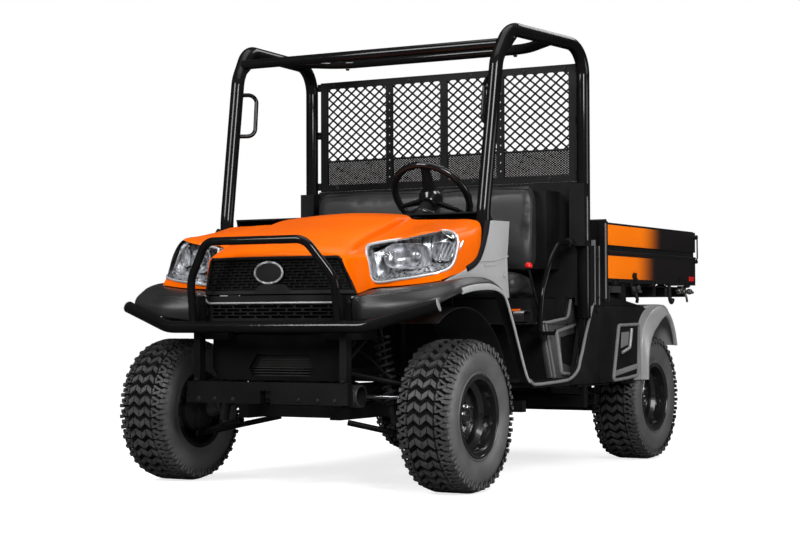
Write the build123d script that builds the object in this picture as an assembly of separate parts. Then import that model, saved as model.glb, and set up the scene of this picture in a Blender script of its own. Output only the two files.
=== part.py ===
from build123d import *
import math
import os

# A side-by-side utility vehicle: rear-engined, open cab under a roll bar, tipping cargo bed.
# Millimetres. X is the vehicle's left, Z is up from the ground.
# Y is measured rearward from the front axle while modelling. write() then moves every piece
# forward so that the origin lies under the middle of the vehicle.

# ---- driving dimensions ------------------------------------------------------------------
WHEELBASE = 2045
FRONT_REACH = -459          # foremost point, the brush guard's top bar
REAR_REACH = 2583           # rearmost point, the tailgate's latch caps
ORIGIN_Y = (FRONT_REACH + REAR_REACH) / 2

TYRE_R = 310
TYRE_W = 230
TRACK_FRONT = 1370
TRACK_REAR = 1250
RIM_LIP_R = 168
RIM_HALF_W = 107
BEAD_R = 152
BEAD_X = 101.5             # outer face of the tyre's bead
WELL_R = 128
DISC_OFFSET = 20            # disc face outboard of the wheel's middle plane
HUB_BORE_R = 16
PIN_GAP = 0.1               # radial clearance of every pin in its eye

KINGPIN_X = 590
STEER_ARM = (566, -112, 362)  # tie rod's outer pin, left side
TIE_ROD_INNER_X = 335

ROPS_D = 60
GUARD_D = 34
BUMPER_D = 50
HIP_D = 26

ROOF_Z = 1956               # middle of the roof rails
POST_FOOT_Z = 705           # lower end of the roll bar's rear posts
FLOOR_Z = 431               # cab floor's top face
SKIN = 5                    # moulded and pressed panels

HOOD_HINGE = (300, 1132)    # y, z
HOOD_PIN_R = 4
HOOD_KNUCKLE_R = 8
BED_HINGE = (2330, 800)     # y, z
BED_X = 751                 # outer face of the side gates
BED_Y0 = 1381
BED_Y1 = 2577
BED_Z0 = 875                # bottom edge of the side gates
BED_Z1 = 1153
GATE_T = 36

CYL_X = 310
CYL_BASE = (1620, 400)      # lift cylinder's lower pin, y and z
CYL_EYE = (2000, 790)       # its rod's eye on the bed

SEATS = ((57, 588), (-588, 45))   # x spans of the driver's seat and the passengers' seat


# ---- small makers ------------------------------------------------------------------------
def block(x, y, z):
    """Block between two x, two y and two z values."""
    size = Box(x[1] - x[0], y[1] - y[0], z[1] - z[0])
    return Pos((x[0] + x[1]) / 2, (y[0] + y[1]) / 2, (z[0] + z[1]) / 2) * size


def rod_x(y, z, x0, x1, r):
    """Cylinder along X."""
    return Pos((x0 + x1) / 2, y, z) * Rot(0, 90, 0) * Cylinder(r, abs(x1 - x0))


def rod_y(x, z, y0, y1, r):
    """Cylinder along Y."""
    return Pos(x, (y0 + y1) / 2, z) * Rot(90, 0, 0) * Cylinder(r, abs(y1 - y0))


def rod(a, b, r):
    """Cylinder from point a to point b."""
    axis = Vector(*b) - Vector(*a)
    return Plane(origin=a, z_dir=axis) * Pos(0, 0, axis.length / 2) * Cylinder(r, axis.length)


def bent_tube(points, bends, diameter):
    """Round tube along straight runs, with one bend radius for each corner."""
    path = FilletPolyline(*points, radius=bends)
    return sweep(Plane(origin=path @ 0, z_dir=path % 0) * Circle(diameter / 2), path=path)


def side_prism(outline, x0, x1):
    """Outline of (y, z) points, run across from x0 to x1."""
    return extrude(Plane.YZ.offset(x0) * make_face(Polyline(*outline, close=True)), amount=x1 - x0)


def plan_prism(outline, z0, z1):
    """Outline of (x, y) points, run up from z0 to z1."""
    return extrude(Plane.XY.offset(z0) * make_face(Polyline(*outline, close=True)), amount=z1 - z0)


def front_prism(outline, y0, y1):
    """Outline of (x, z) points, run back from y0 to y1."""
    return extrude(Plane.XZ.offset(-y0) * make_face(Polyline(*outline, close=True)), amount=y0 - y1)


def band(path, thickness, x0, x1):
    """Bent sheet: a line of (y, z) points with its thickness on the right-hand side, run across."""
    inner = []
    for i, (y, z) in enumerate(path):
        before, after = path[max(i - 1, 0)], path[min(i + 1, len(path) - 1)]
        dy, dz = after[0] - before[0], after[1] - before[1]
        length = math.hypot(dy, dz)
        inner.append((y + thickness * dz / length, z - thickness * dy / length))
    return side_prism(path + inner[::-1], x0, x1)


def mirrored(part):
    """The same piece on the vehicle's right."""
    return mirror(part, about=Plane.YZ)


def pair(part):
    """The piece on both sides."""
    return [part, mirrored(part)]


def solids_of(item):
    """Flat list of the solids in a piece or in nested lists of pieces."""
    if isinstance(item, (list, tuple)):
        return [s for sub in item for s in solids_of(sub)]
    return list(item.solids())


def write(name, *pieces):
    """Put the pieces in one node and save it, in the vehicle's own frame."""
    node = Compound(children=[Pos(0, -ORIGIN_Y, 0) * s for s in solids_of(pieces)])
    export_step(node, f"parts/{name}.step")


# ---- wheels ------------------------------------------------------------------------------
def tyre():
    """Tyre about the X axis, its outer side towards +X."""
    half = TYRE_W / 2
    outer = [(-BEAD_X, BEAD_R), (-BEAD_X, 171), (-RIM_HALF_W - 4, 180), (-half, 225), (-half + 2, 268),
             (-half + 22, 298), (-60, TYRE_R - 2), (60, TYRE_R - 2), (half - 22, 298),
             (half - 2, 268), (half, 225), (RIM_HALF_W + 4, 180), (BEAD_X, 171), (BEAD_X, BEAD_R)]
    inner = [(RIM_HALF_W - 16, BEAD_R), (RIM_HALF_W - 10, 185), (half - 12, 225), (half - 18, 262),
             (60, TYRE_R - 26), (-60, TYRE_R - 26), (-half + 18, 262), (-half + 12, 225),
             (-RIM_HALF_W + 10, 185), (-RIM_HALF_W + 16, BEAD_R)]
    outline = Polyline(*[(x, 0, r) for x, r in outer + inner], close=True)
    crown = rod_x(0, 0, -60, 60, TYRE_R) - rod_x(0, 0, -60, 60, TYRE_R - 10)
    return revolve(make_face(outline), Axis.X) + crown


def rim():
    """Pressed steel rim with its disc, hub and nuts, about the X axis."""
    t = 4
    half = RIM_HALF_W
    barrel = [(-half, RIM_LIP_R), (-half + 3, RIM_LIP_R), (-half + 5, BEAD_R), (-62, BEAD_R),
              (-48, WELL_R), (30, WELL_R), (46, BEAD_R), (half - 5, BEAD_R), (half - 3, RIM_LIP_R),
              (half, RIM_LIP_R), (half, BEAD_R - t), (42, BEAD_R - t), (28, WELL_R - t),
              (-46, WELL_R - t), (-60, BEAD_R - t), (-half, BEAD_R - t)]
    disc = [(-6, WELL_R - t), (0, WELL_R - t), (DISC_OFFSET + 6, 100), (DISC_OFFSET + 6, 84),
            (DISC_OFFSET, 70), (DISC_OFFSET, HUB_BORE_R), (DISC_OFFSET - 6, HUB_BORE_R),
            (DISC_OFFSET - 6, 70), (DISC_OFFSET, 84), (DISC_OFFSET, 96)]
    whole = revolve(make_face(Polyline(*[(x, 0, r) for x, r in barrel], close=True)), Axis.X)
    whole += revolve(make_face(Polyline(*[(x, 0, r) for x, r in disc], close=True)), Axis.X)
    hub = rod_x(0, 0, -34, DISC_OFFSET + 24, 34) - rod_x(0, 0, -34, DISC_OFFSET + 14, HUB_BORE_R)
    whole += hub
    for k in range(4):
        a = math.radians(45 + 90 * k)
        whole += rod_x(50 * math.cos(a), 50 * math.sin(a), DISC_OFFSET, DISC_OFFSET + 20, 10)
    for k in range(8):
        a = math.radians(22.5 + 45 * k)
        whole -= rod_x(93 * math.cos(a), 93 * math.sin(a), -20, DISC_OFFSET + 20, 11)
    return whole


def place_wheel(part, side, track, y):
    """Stand a wheel piece on its hub; side is +1 on the left and -1 on the right."""
    turned = part if side > 0 else mirrored(part)
    return Pos(side * track / 2, y, TYRE_R) * turned


def knuckle():
    """Left front knuckle: upright with its kingpin bosses, brake housing, stub axle and steering arm."""
    x = KINGPIN_X
    upright = block((x - 16, x + 20), (-26, 26), (230, 390))
    for z in (222, 398):
        upright += Pos(x, 0, z) * Cylinder(8, 20)
    housing = rod_x(0, TYRE_R, x + 10, x + 44, 92)
    spindle = rod_x(0, TYRE_R, x + 40, TRACK_FRONT / 2 + DISC_OFFSET + 10, HUB_BORE_R - PIN_GAP)
    ax, ay, az = STEER_ARM
    arm = block((ax - 5, x + 16), (-60, -20), (az - 9, az + 9))
    eye = Pos(ax, ay, az) * Cylinder(14, 18) - Pos(ax, ay, az) * Cylinder(8, 30)
    arm_end = block((ax - 10, ax + 12), (ay + 6, -50), (az - 9, az + 9))
    arm_end -= Pos(ax, ay, az) * Cylinder(8, 30)
    half_socket = rod_x(0, TYRE_R, x - 28, x - 10, 34)
    return upright + housing + spindle + arm + arm_end + eye + half_socket


def tie_rod():
    """Left tie rod: ball stud in the steering arm's eye, and the rod in to the rack's boot."""
    ax, ay, az = STEER_ARM
    stud = Pos(ax, ay, az) * Cylinder(8 - PIN_GAP, 32)
    head = Pos(ax, ay, az + 24) * Cylinder(11, 16)
    bar = rod((ax, ay, az + 24), (TIE_ROD_INNER_X, ay, az + 24), 8)
    return stud + head + bar


# ---- chassis and running gear --------------------------------------------------------------
RAIL_X = 225                # middle of each main rail
RAIL_SPAN = (200, 250)      # its inner and outer faces
RAIL_Z = (290, 350)
BEAM_Y = (-363, -323)


def chassis_frame():
    """Ladder frame of welded tubes, one solid each: rails, cross members, outriggers, beam, hitch."""
    low, top = RAIL_Z
    sides = [block(RAIL_SPAN, (-190, 2360), RAIL_Z), block((720, 744), (1140, 1180), (top - 4, POST_FOOT_Z))]
    for y, reach in ((620, 680), (1140, 744), (1400, 680)):
        sides.append(block((RAIL_SPAN[1], reach), (y, y + 40), (low + 6, top - 4)))
    tubes = [half for side in sides for half in (side, mirrored(side))]
    for y in (-120, 420, 900, 1330, 1800, 2285):
        tubes.append(block((-RAIL_SPAN[0], RAIL_SPAN[0]), (y, y + 40), (low + 4, top - 8)))
    beam = block((-390, 390), BEAM_Y, (359, 447))
    beam -= block((-26, 26), (BEAM_Y[0] - 5, BEAM_Y[1] + 5), (350, 413))
    hitch = block((-32, 32), (2325, 2500), (252, 316)) - block((-25.5, 25.5), (2335, 2505), (259, 310))
    return tubes + [beam, hitch]


def front_subframe():
    """Suspension towers on the rails, the posts on the front beam and the bar under the dash."""
    x = (RAIL_X, RAIL_X + 45)
    tower = block(x, (-190, -160), (RAIL_Z[1], 704)) + block(x, (160, 190), (RAIL_Z[1], 500))
    tower += block(x, (-190, 190), (458, 500)) + block(x, (-190, -8), (660, 704))
    tower += block((RAIL_X, 362), (-75, -8), (694, 704))
    for y in (-62, -30):
        tower += block((334, 362), (y - 3, y + 3), (662, 696))
    tower += block(RAIL_SPAN, (BEAM_Y[1], -160), (372, 432))
    tower += block((RAIL_X, 372), (BEAM_Y[1] + 20, -100), (620, 656))
    post = block((340, 372), (BEAM_Y[1] - 20, BEAM_Y[1] + 20), (447, 800))
    upright = block(x, (280, 320), (RAIL_Z[1], 846))
    bar = block((-682, 682), (280, 320), (846, 880))
    return [tower, mirrored(tower), post, mirrored(post), upright, mirrored(upright), bar]


def rear_subframe():
    """Upper frame under the bed: uprights, side beams, cross bars, hinge lugs, lift cylinder brackets."""
    top = RAIL_Z[1]
    sides = [block(RAIL_SPAN, (1330, 1370), (top, 702)), block(RAIL_SPAN, (2285, 2330), (top, 702)),
             block(RAIL_SPAN, (1330, 2330), (702, 742)), bed_hinge_lug()]
    for y in (1330, 2140, 2285):
        sides.append(block((RAIL_SPAN[1], 470), (y, y + 42), (702, 742)))
    tubes = [half for side in sides for half in (side, mirrored(side))]
    for y in (1330, 2140, 2285):
        tubes.append(block((-RAIL_SPAN[0], RAIL_SPAN[0]), (y, y + 42), (702, 742)))
    bracket = lift_bracket()
    return tubes + [bracket, mirrored(bracket)]


def lift_bracket():
    """Outrigger behind the cab with the two lugs and the pin of the lift cylinder's base."""
    bracket = block((RAIL_SPAN[1], CYL_X + 40), (CYL_BASE[0] - 28, CYL_BASE[0] + 28), (300, 344))
    for x in (CYL_X - 34, CYL_X + 34):
        bracket += block((x - 3, x + 3), (CYL_BASE[0] - 24, CYL_BASE[0] + 24), (342, 424))
    return bracket + rod_x(*CYL_BASE, CYL_X - 40, CYL_X + 40, 8 - PIN_GAP)


def bed_hinge_lug():
    """Lug at the frame's tail that carries the bed's hinge pin."""
    y, z = BED_HINGE
    lug = block((440, 452), (2285, y + 22), (742, z)) + rod_x(y, z, 440, 452, 22)
    return lug - rod_x(y, z, 430, 460, 13 + PIN_GAP)


def suspension_arms():
    """Front lower and upper wishbones, one solid each, with their ball-joint ends at the kingpin line."""
    arms = []
    for x_in, z_in, z_out, reach in ((262, 280, 206, 150), (277, 480, 414, 150)):
        arm = Pos(KINGPIN_X, 0, z_out) * Cylinder(20, 22)
        for side in (-1, 1):
            arm += rod((x_in, side * reach, z_in), (KINGPIN_X - 12, side * 8, z_out), 12)
        if z_in < TYRE_R:
            arm += block((418, 442), (-88, 88), (234, 248))
        arms.append(arm - rod((KINGPIN_X, 0, 150), (KINGPIN_X, 0, 500), 8 + PIN_GAP))
    return [pair(arm) for arm in arms]


SHOCKS = (((430, -44, 262), (348, -44, 684), 24), ((440, 2140, 300), (415, 2160, 690), 32))
# each: lower eye, upper eye, spring radius


def shock_absorbers():
    """Four coil-over units, each damper and spring as one stepped cylinder."""
    units = []
    for low, high, r in SHOCKS:
        a, b = Vector(*low), Vector(*high)
        unit = rod(a, b, 11) + rod(a + (b - a) * 0.22, a + (b - a) * 0.86, r)
        units.append(pair(unit))
    return units


def driveline():
    """Front differential, propeller shaft and rear transaxle in one line."""
    diff = block((-90, 90), (-90, 90), (376, 470)) + rod_x(0, 415, -150, 150, 48)
    shaft = rod_y(0, 400, 80, 1750, 22)
    box = block((-150, 150), (1740, 2200), (376, 600)) + rod_x(WHEELBASE, 420, -190, 190, 60)
    return diff + shaft + box


def half_shafts():
    """Four axle shafts with their rubber boots."""
    shafts = []
    for x0, z0, x1, y in ((164, 415, KINGPIN_X - 58, 0), (208, 420, 446, WHEELBASE)):
        shaft = rod((x0, y, z0), (x1, y, TYRE_R), 13)
        a, b = Vector(x0, y, z0), Vector(x1, y, TYRE_R)
        shaft += rod(a, a + (b - a) * 0.2, 38) + rod(b - (b - a) * 0.2, b, 36)
        shafts.append(pair(shaft))
    return shafts


def rear_axle():
    """Rear beam axle behind the wheels' centres, its hub carriers and stub axles, and trailing links."""
    beam = rod_x(WHEELBASE + 130, 256, -480, 480, 30)
    end = block((464, 498), (WHEELBASE - 40, WHEELBASE + 165), (225, 345))
    end += rod_x(WHEELBASE, TYRE_R, 496, TRACK_REAR / 2 - 40, 88)
    end += rod_x(WHEELBASE, TYRE_R, 520, TRACK_REAR / 2 + DISC_OFFSET + 10, HUB_BORE_R - PIN_GAP)
    link = rod((480, 1441, 318), (480, WHEELBASE - 30, 290), 16)
    perch = block((412, 466), (2112, 2168), (262, 287))
    return beam + end + mirrored(end) + link + mirrored(link) + perch + mirrored(perch)


def steering_rack():
    """Rack housing across the frame with a hollow rubber boot at each end."""
    _, y, z = STEER_ARM
    z += 24
    housing = rod_x(y, z, -258, 258, 20)
    boot = rod_x(y, z, 254, TIE_ROD_INNER_X - 30, 44) - rod_x(y, z, 262, TIE_ROD_INNER_X + 20, 40)
    return housing + boot + mirrored(boot)


# ---- front of the body -----------------------------------------------------------------------
NOSE_PLAN = [(0, -335), (303, -302), (371, -256), (404, -176), (640, -142), (690, -60),
             (702, 160), (674, 262)]
HOOD_TOP = [(-335, 958), (-300, 988), (-180, 1034), (0, 1090), (150, 1124), (300, 1148)]
HOOD_LOW = [(-400, 802), (-215, 802), (-176, 838), (-60, 858), (161, 920), (262, 1106), (284, 1164)]


def nose_block(inset, z0):
    """The hood's outer volume drawn in by inset all round, down to z0."""
    half = [(max(x - inset, 0), y + inset) for x, y in NOSE_PLAN]
    half.append((half[-1][0] + 8, 400))
    plan = half[::-1] + [(-x, y) for x, y in half[1:]]
    top = [(y, z - inset) for y, z in HOOD_TOP] + [(420, 1164 - inset), (420, z0), (-420, z0)]
    top.insert(0, (-420, HOOD_TOP[0][1] - inset - 40))
    crown = [(-720, z0), (-720, 1034 - inset), (-640, 1106 - inset), (-420, 1140 - inset),
             (0, 1158 - inset), (420, 1140 - inset), (640, 1106 - inset), (720, 1034 - inset), (720, z0)]
    return plan_prism(plan, z0, 1200) & side_prism(top, -760, 760) & front_prism(crown, -460, 420)


HEADLIGHT = [(392, 862), (404, 846), (660, 872), (700, 900), (712, 1000), (660, 1058), (400, 985),
             (380, 955)]     # x, z seen from ahead
GRILLE = [(-303, 944), (303, 944), (362, 812), (-362, 812)]


def hood():
    """One-piece hood and nose shell with its grille and headlight openings and two hinge knuckles."""
    shell = nose_block(0, 760) - nose_block(SKIN, 700)
    below = HOOD_LOW + [(420, 1164), (420, 700), (-420, 700)]
    shell -= side_prism(below, -760, 760)
    shell -= front_prism(GRILLE, -420, -200)
    light = front_prism(HEADLIGHT, -420, 60)
    shell -= light + mirrored(light)
    y, z = HOOD_HINGE
    knuckle = block((180, 200), (y - 25, y), (z - 4, z + 13)) + rod_x(y, z, 180, 200, HOOD_KNUCKLE_R)
    knuckle -= rod_x(y, z, 170, 210, HOOD_PIN_R + PIN_GAP)
    return shell + knuckle + mirrored(knuckle)


def headlights():
    """Left and right lamp units, flush with the hood's skin."""
    unit = nose_block(1, 760) & front_prism(HEADLIGHT, -420, 58)
    core = nose_block(70, 700) & front_prism(HEADLIGHT, -420, 420)
    unit = unit - core
    return pair(unit & block((370, 720), (-400, 58), (800, 1100)))


def upper_grille():
    """Slotted plastic panel in the nose opening."""
    panel = (nose_block(6, 760) - nose_block(18, 700)) & front_prism(GRILLE, -420, -180)
    return panel


def front_fascia():
    """Black moulding under the nose with the lower grille, carried on the front posts."""
    face = [(-372, -268), (-303, -318), (0, -345), (303, -318), (372, -268), (372, -170),
            (-372, -170)]
    outer = plan_prism(face, 668, 795)
    inner = plan_prism([(x * 0.985, y + 6) for x, y in face[:5]] + [(366, 0), (-366, 0)], 660, 800)
    shell = outer - inner
    for x in range(-300, 301, 100):
        shell -= block((x - 38, x + 38), (-360, -250), (705, 760))
    for side in (-1, 1):
        shell -= block((side * 356 - 22, side * 356 + 22), (-370, -290), (600, 810))
    return shell


def radiator():
    """Radiator core with its shroud behind the grille."""
    return block((-216, 216), (-230, -160), (500, 900))


def bumper_tube():
    """The bumper's tube alone."""
    points = [(-757, -285, 757), (-478, -378, 672), (478, -378, 672), (757, -285, 757)]
    return bent_tube(points, [160, 160], BUMPER_D)


def bumper_bar():
    """Main tube across the front, swept back and up at both ends, with closed end caps."""
    bar = bumper_tube()
    bracket = block((330, 378), (-385, BEAM_Y[1] - 20), (655, 681))
    return bar + bracket + mirrored(bracket)


def brush_guard():
    """Hoop ahead of the grille, standing on the bumper bar."""
    points = [(-351, -374, 690), (-350, -395, 866), (-240, -442, 1022), (240, -442, 1022),
              (350, -395, 866), (351, -374, 690)]
    return bent_tube(points, [120, 80, 80, 120], GUARD_D) - bumper_tube()


FENDER_TOP = [(-318, 700), (-300, 752), (-206, 826), (-12, 838), (168, 846), (308, 828),
              (400, 772), (448, 707), (577, 437)]
FENDER_PLAN = [(430, -320), (560, -320), (722, -206), (780, -136), (786, 0), (776, 168),
               (752, 308), (738, 400), (734, 600), (430, 600)]


def front_fender():
    """Left wheel-arch moulding: roof over the wheel, its edge lip and the inner wall."""
    roof = band(FENDER_TOP, 7, 430, 800) & plan_prism(FENDER_PLAN, 300, 900)
    wall_line = FENDER_TOP[1:-1]
    wall = [(y, z - 2) for y, z in wall_line] + [(448, 640), (-300, 640)]
    return roof + side_prism(wall, 430, 436)


COWL_SIDE = [(318, 1116), (458, 1116), (430, 958), (396, 786), (308, 838), (168, 854), (-12, 847),
             (-140, 832), (-150, 846), (0, 872), (172, 912), (200, 925)]


def side_cowl():
    """Left grey panel between the hood and the cab, running forward over the arch."""
    plate = side_prism(COWL_SIDE, 708, 714)
    top = plan_prism([(686, 318), (714, 318), (714, 458), (686, 458)], 1110, 1116)
    return plate + top


def dashboard():
    """Dash moulding across the cab with its top deck, face, glove shelf and the hood's hinge lugs."""
    outline = [(334, 1158), (430, 1150), (500, 1070), (505, 960), (440, 900),
               (434, 900), (497, 962), (492, 1067), (426, 1143), (334, 1151)]
    shell = side_prism(outline, -626, 626)
    for x in (-626, 621):
        end = [(336, 1152), (428, 1146), (495, 1068), (500, 962), (440, 902), (380, 960)]
        shell += side_prism(end, x, x + 5)
    shell -= rod(column_point(300), column_point(0), 40)
    y, z = HOOD_HINGE
    lug = rod_x(y, z, 203, 223, HOOD_KNUCKLE_R) + block((203, 223), (y, 344), (z - 4, z + 4))
    lug += block((203, 223), (336, 344), (z - 4, 1154)) + rod_x(y, z, 178, 223, HOOD_PIN_R)
    return shell + lug + mirrored(lug)


# ---- steering ----------------------------------------------------------------------------------
COLUMN_TOP = (275, 545, 1236)   # steering wheel's hub centre
COLUMN_TILT = 40                # column's rise above level, degrees
WHEEL_R = 178


def column_point(distance):
    """Point on the column's axis, this far ahead of and below the steering wheel's hub."""
    a = math.radians(COLUMN_TILT)
    x, y, z = COLUMN_TOP
    return (x, y - distance * math.cos(a), z - distance * math.sin(a))


def steering_column():
    """Column jacket from under the wheel down to the rack's pinion."""
    jacket = rod(column_point(60), column_point(380), 30)
    knee = column_point(370)
    lower = rod(knee, (RAIL_X - 60, STEER_ARM[1], STEER_ARM[2] + 80), 12)
    pinion = Pos(RAIL_X - 60, STEER_ARM[1], STEER_ARM[2] + 66) * Cylinder(16, 40)
    return jacket + lower + pinion


def steering_wheel():
    """Three-spoke wheel with a padded hub, square to the column."""
    a = math.radians(COLUMN_TILT)
    axis = (0, math.cos(a), math.sin(a))
    plane = Plane(origin=COLUMN_TOP, x_dir=(1, 0, 0), z_dir=axis)
    wheel = Torus(WHEEL_R, 14) + Pos(0, 0, -22) * Cylinder(44, 50)
    for angle in (-25, 90, 205):
        spoke = Pos(WHEEL_R / 2, 0, -8) * Box(WHEEL_R - 6, 34, 9)
        wheel += Rot(0, 0, -angle) * spoke
    return plane * wheel


# ---- cab -----------------------------------------------------------------------------------------
SEAT_BASE_Y = (921, 1262)


def floor_pan():
    """Cab floor with its toe board, centre firewall and the two side sills."""
    floor = block((-700, 700), (575, SEAT_BASE_Y[0]), (FLOOR_Z - SKIN, FLOOR_Z))
    floor += block((-430, 430), (446, 577), (FLOOR_Z - SKIN, FLOOR_Z))
    wall = block((-430, 430), (446, 452), (FLOOR_Z - SKIN, 905))
    sill = side_prism([(584, 425), (610, 402), (1030, 402), (1068, 424), (1058, 431), (1040, 431),
                       (584, 431)], 700, 742)
    sill += side_prism([(1040, 420), (1068, 424), (1090, 440), (1185, 700), (1172, 700),
                        (1078, 444)], 700, 718)
    sill += block((640, 700), (600, 1000), (FLOOR_Z - 28, FLOOR_Z - SKIN + 1))
    step = block((600, 742), (1080, 1440), (392, 398)) - block((715, 750), (1135, 1185), (380, 410))
    sill += step + block((600, 700), (1030, 1100), (392, 404))
    return floor + wall + sill + mirrored(sill)


def seat_base():
    """Seat box: sloping side panels, front wall and the seat pan on top."""
    outer = front_prism([(-696, FLOOR_Z), (696, FLOOR_Z), (652, 683), (-652, 683)], *SEAT_BASE_Y)
    inner = front_prism([(-691, 428), (691, 428), (647, 678), (-647, 678)],
                        SEAT_BASE_Y[0] + SKIN, SEAT_BASE_Y[1] + 20)
    inner &= block((-800, 800), (0, 2000), (300, 678))
    pan = block((-610, 610), (820, 1160), (683, 795)) - block((-605, 605), (825, 1170), (680, 790))
    rear_step = block((600, 655), (1128, 1262), (683, 800))
    return (outer - inner) + pan + rear_step + mirrored(rear_step)


def seat_cushions():
    """Seat cushions, plain blocks with rounded front edges."""
    pads = []
    for x0, x1 in SEATS:
        pad = side_prism([(775, 800), (1015, 796), (1015, 880), (960, 898), (800, 912), (765, 880)],
                         x0, x1)
        pads.append(pad)
    return pads


def seat_backs():
    """Seat backs leaning rearward."""
    outline = [(922, 922), (1008, 912), (1022, 1040), (1020, 1290), (992, 1326), (958, 1316), (938, 1290)]
    return [side_prism(outline, x0, x1) for x0, x1 in SEATS]


def bulkhead():
    """Panel behind the seats, bulging forward to carry the backs, with shrouds round the rear posts."""
    panel = block((-700, 700), (1165, 1172), (800, 1336))
    panel += block((-612, 612), (1023, 1166), (930, 1290)) - block((-607, 607), (1028, 1200), (935, 1285))
    shroud = block((692, 768), (1100, 1160), (1035, 1322)) + block((692, 706), (1100, 1168), (1035, 1322))
    shroud += block((692, 757), (1158, 1240), (764, 1036))
    shroud += block((744, 757), (1236, 1290), (764, 1040))
    shroud -= roll_bar_tube()
    foot = block((-700, 700), (1165, 1262), (800, 806))
    return panel + foot + shroud + mirrored(shroud)


def hip_guard():
    """Left bent rail beside the seat."""
    points = [(684, 790, 640), (690, 806, 818), (700, 878, 970), (700, 965, 1042), (700, 1098, 1050)]
    tube = bent_tube(points, [120, 200, 60], HIP_D)
    foot = block((640, 700), (770, 921), (628, 646))
    return tube + foot


def controls():
    """Pedals, and the bed lever beside the driver's seat."""
    pedals = []
    for x, y in ((250, 520), (330, 530), (180, 530)):
        arm = rod((x, 462, 640), (x, y, 520), 7)
        pad = Pos(x, y, 515) * Rot(35, 0, 0) * Box(60, 80, 8)
        pedals.append(arm + pad)
    lever = rod((628, 930, 690), (638, 780, 925), 6) + Pos(638, 780, 935) * Sphere(17)
    lever += block((618, 640), (910, 950), (683, 700))
    return pedals + [lever]


def roll_bar_tube():
    """Left roll-bar tube alone, from the frame's cross member over the roof to the rear upright."""
    points = [(656, 303, 880), (656, 303, 1150), (668, 410, 1811), (682, 505, ROOF_Z),
              (738, 1160, ROOF_Z), (738, 1160, POST_FOOT_Z)]
    return bent_tube(points, [300, 120, 120, 130], ROPS_D)


def roll_bar():
    """Left side of the roll bar with its grab handle and the gusset in its front bend."""
    handle = bent_tube([(666, 398, 1738), (592, 452, 1742), (588, 430, 1548), (663, 368, 1545)],
                       [38, 38], 19)
    gusset = side_prism([(425, 1800), (590, ROOF_Z - 25), (470, ROOF_Z - 70)], 670, 682)
    return roll_bar_tube() + handle + gusset


def roof_hoops():
    """Cross tubes at the front bends and near the roof's rear, and the bar at the screen's foot."""
    front = rod_x(440, 1884, -660, 660, 22)
    rear = bent_tube([(-712, 862, 1950), (-500, 1055, 1950), (500, 1055, 1950), (712, 862, 1950)],
                     [220, 220], 48)
    waist = block((-736, 736), (1173, 1199), (1296, 1330)) - block((-701, 701), (1160, 1176), (1200, 1400))
    tube = roll_bar_tube()
    return [hoop - tube - mirrored(tube) for hoop in (front, rear, waist)]


SCREEN_X = 697
SCREEN_Y = (1176, 1188)
SCREEN_Z = (1338, 1883)
SCREEN_EDGE = 40            # width of the side bars
SCREEN_TOP = 32             # width of the top and bottom bars
MULLIONS = (-303, 0, 303)
MULLION_HALF = 19


def screen_panes():
    """Left and right edge of each of the four openings in the screen's frame."""
    lefts = [-SCREEN_X + SCREEN_EDGE] + [x + MULLION_HALF for x in MULLIONS]
    rights = [x - MULLION_HALF for x in MULLIONS] + [SCREEN_X - SCREEN_EDGE]
    return list(zip(lefts, rights))


def rear_screen_frame():
    """Flat-bar frame of the rear screen with three uprights and its brackets to the posts."""
    frame = block((-SCREEN_X, SCREEN_X), SCREEN_Y, SCREEN_Z)
    z = (SCREEN_Z[0] + SCREEN_TOP, SCREEN_Z[1] - SCREEN_TOP)
    for pane in screen_panes():
        frame -= block(pane, (SCREEN_Y[0] - 5, SCREEN_Y[1] + 5), z)
    tube = roll_bar_tube()
    for z in (1346, 1602, 1842):
        bracket = block((SCREEN_X - 2, 725), SCREEN_Y, (z, z + 36)) - tube
        frame += bracket + mirrored(bracket)
    return frame


def rear_screen_mesh():
    """Four mesh panels in the screen's frame."""
    gap = 0.2
    y = (SCREEN_Y[0] + 5, SCREEN_Y[0] + 7)
    z = (SCREEN_Z[0] + SCREEN_TOP + gap, SCREEN_Z[1] - SCREEN_TOP - gap)
    return [block((x0 + gap, x1 - gap), y, z) for x0, x1 in screen_panes()]


# ---- rear of the body -------------------------------------------------------------------------------
ARCH = [(1738, 405), (1752, 600), (1800, 700), (1880, 768), (1980, 790), (2080, 782), (2180, 740),
        (2270, 660), (2330, 560)]


def rear_fender():
    """Left rear side: panel with the storage door, arch moulding and inner wall."""
    flare = band(ARCH, 7, 560, 778)
    side = [(1262, 400), (1262, 760), (1790, 760), (1874, 758), (1800, 694), (1754, 594), (1744, 405)]
    panel = side_prism(side, 738, 744)
    deck = block((560, 744), (1262, 1870), (754, 760))
    door = side_prism([(1500, 412), (1535, 676), (1712, 680), (1722, 418)], 744, 750)
    return flare + panel + deck + door


def engine_block():
    """Diesel engine, crosswise behind the cab."""
    return block((-180, 180), (1385, 1725), (430, 690))


def muffler():
    """Silencer drum beside the transaxle with its tail pipe."""
    drum = rod_y(-310, 560, 1780, 2180, 62)
    pipe = rod((-310, 2170, 560), (-310, 2420, 500), 20)
    inlet = rod((-200, 1650, 560), (-300, 1800, 560), 18)
    return drum + pipe + inlet


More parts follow.
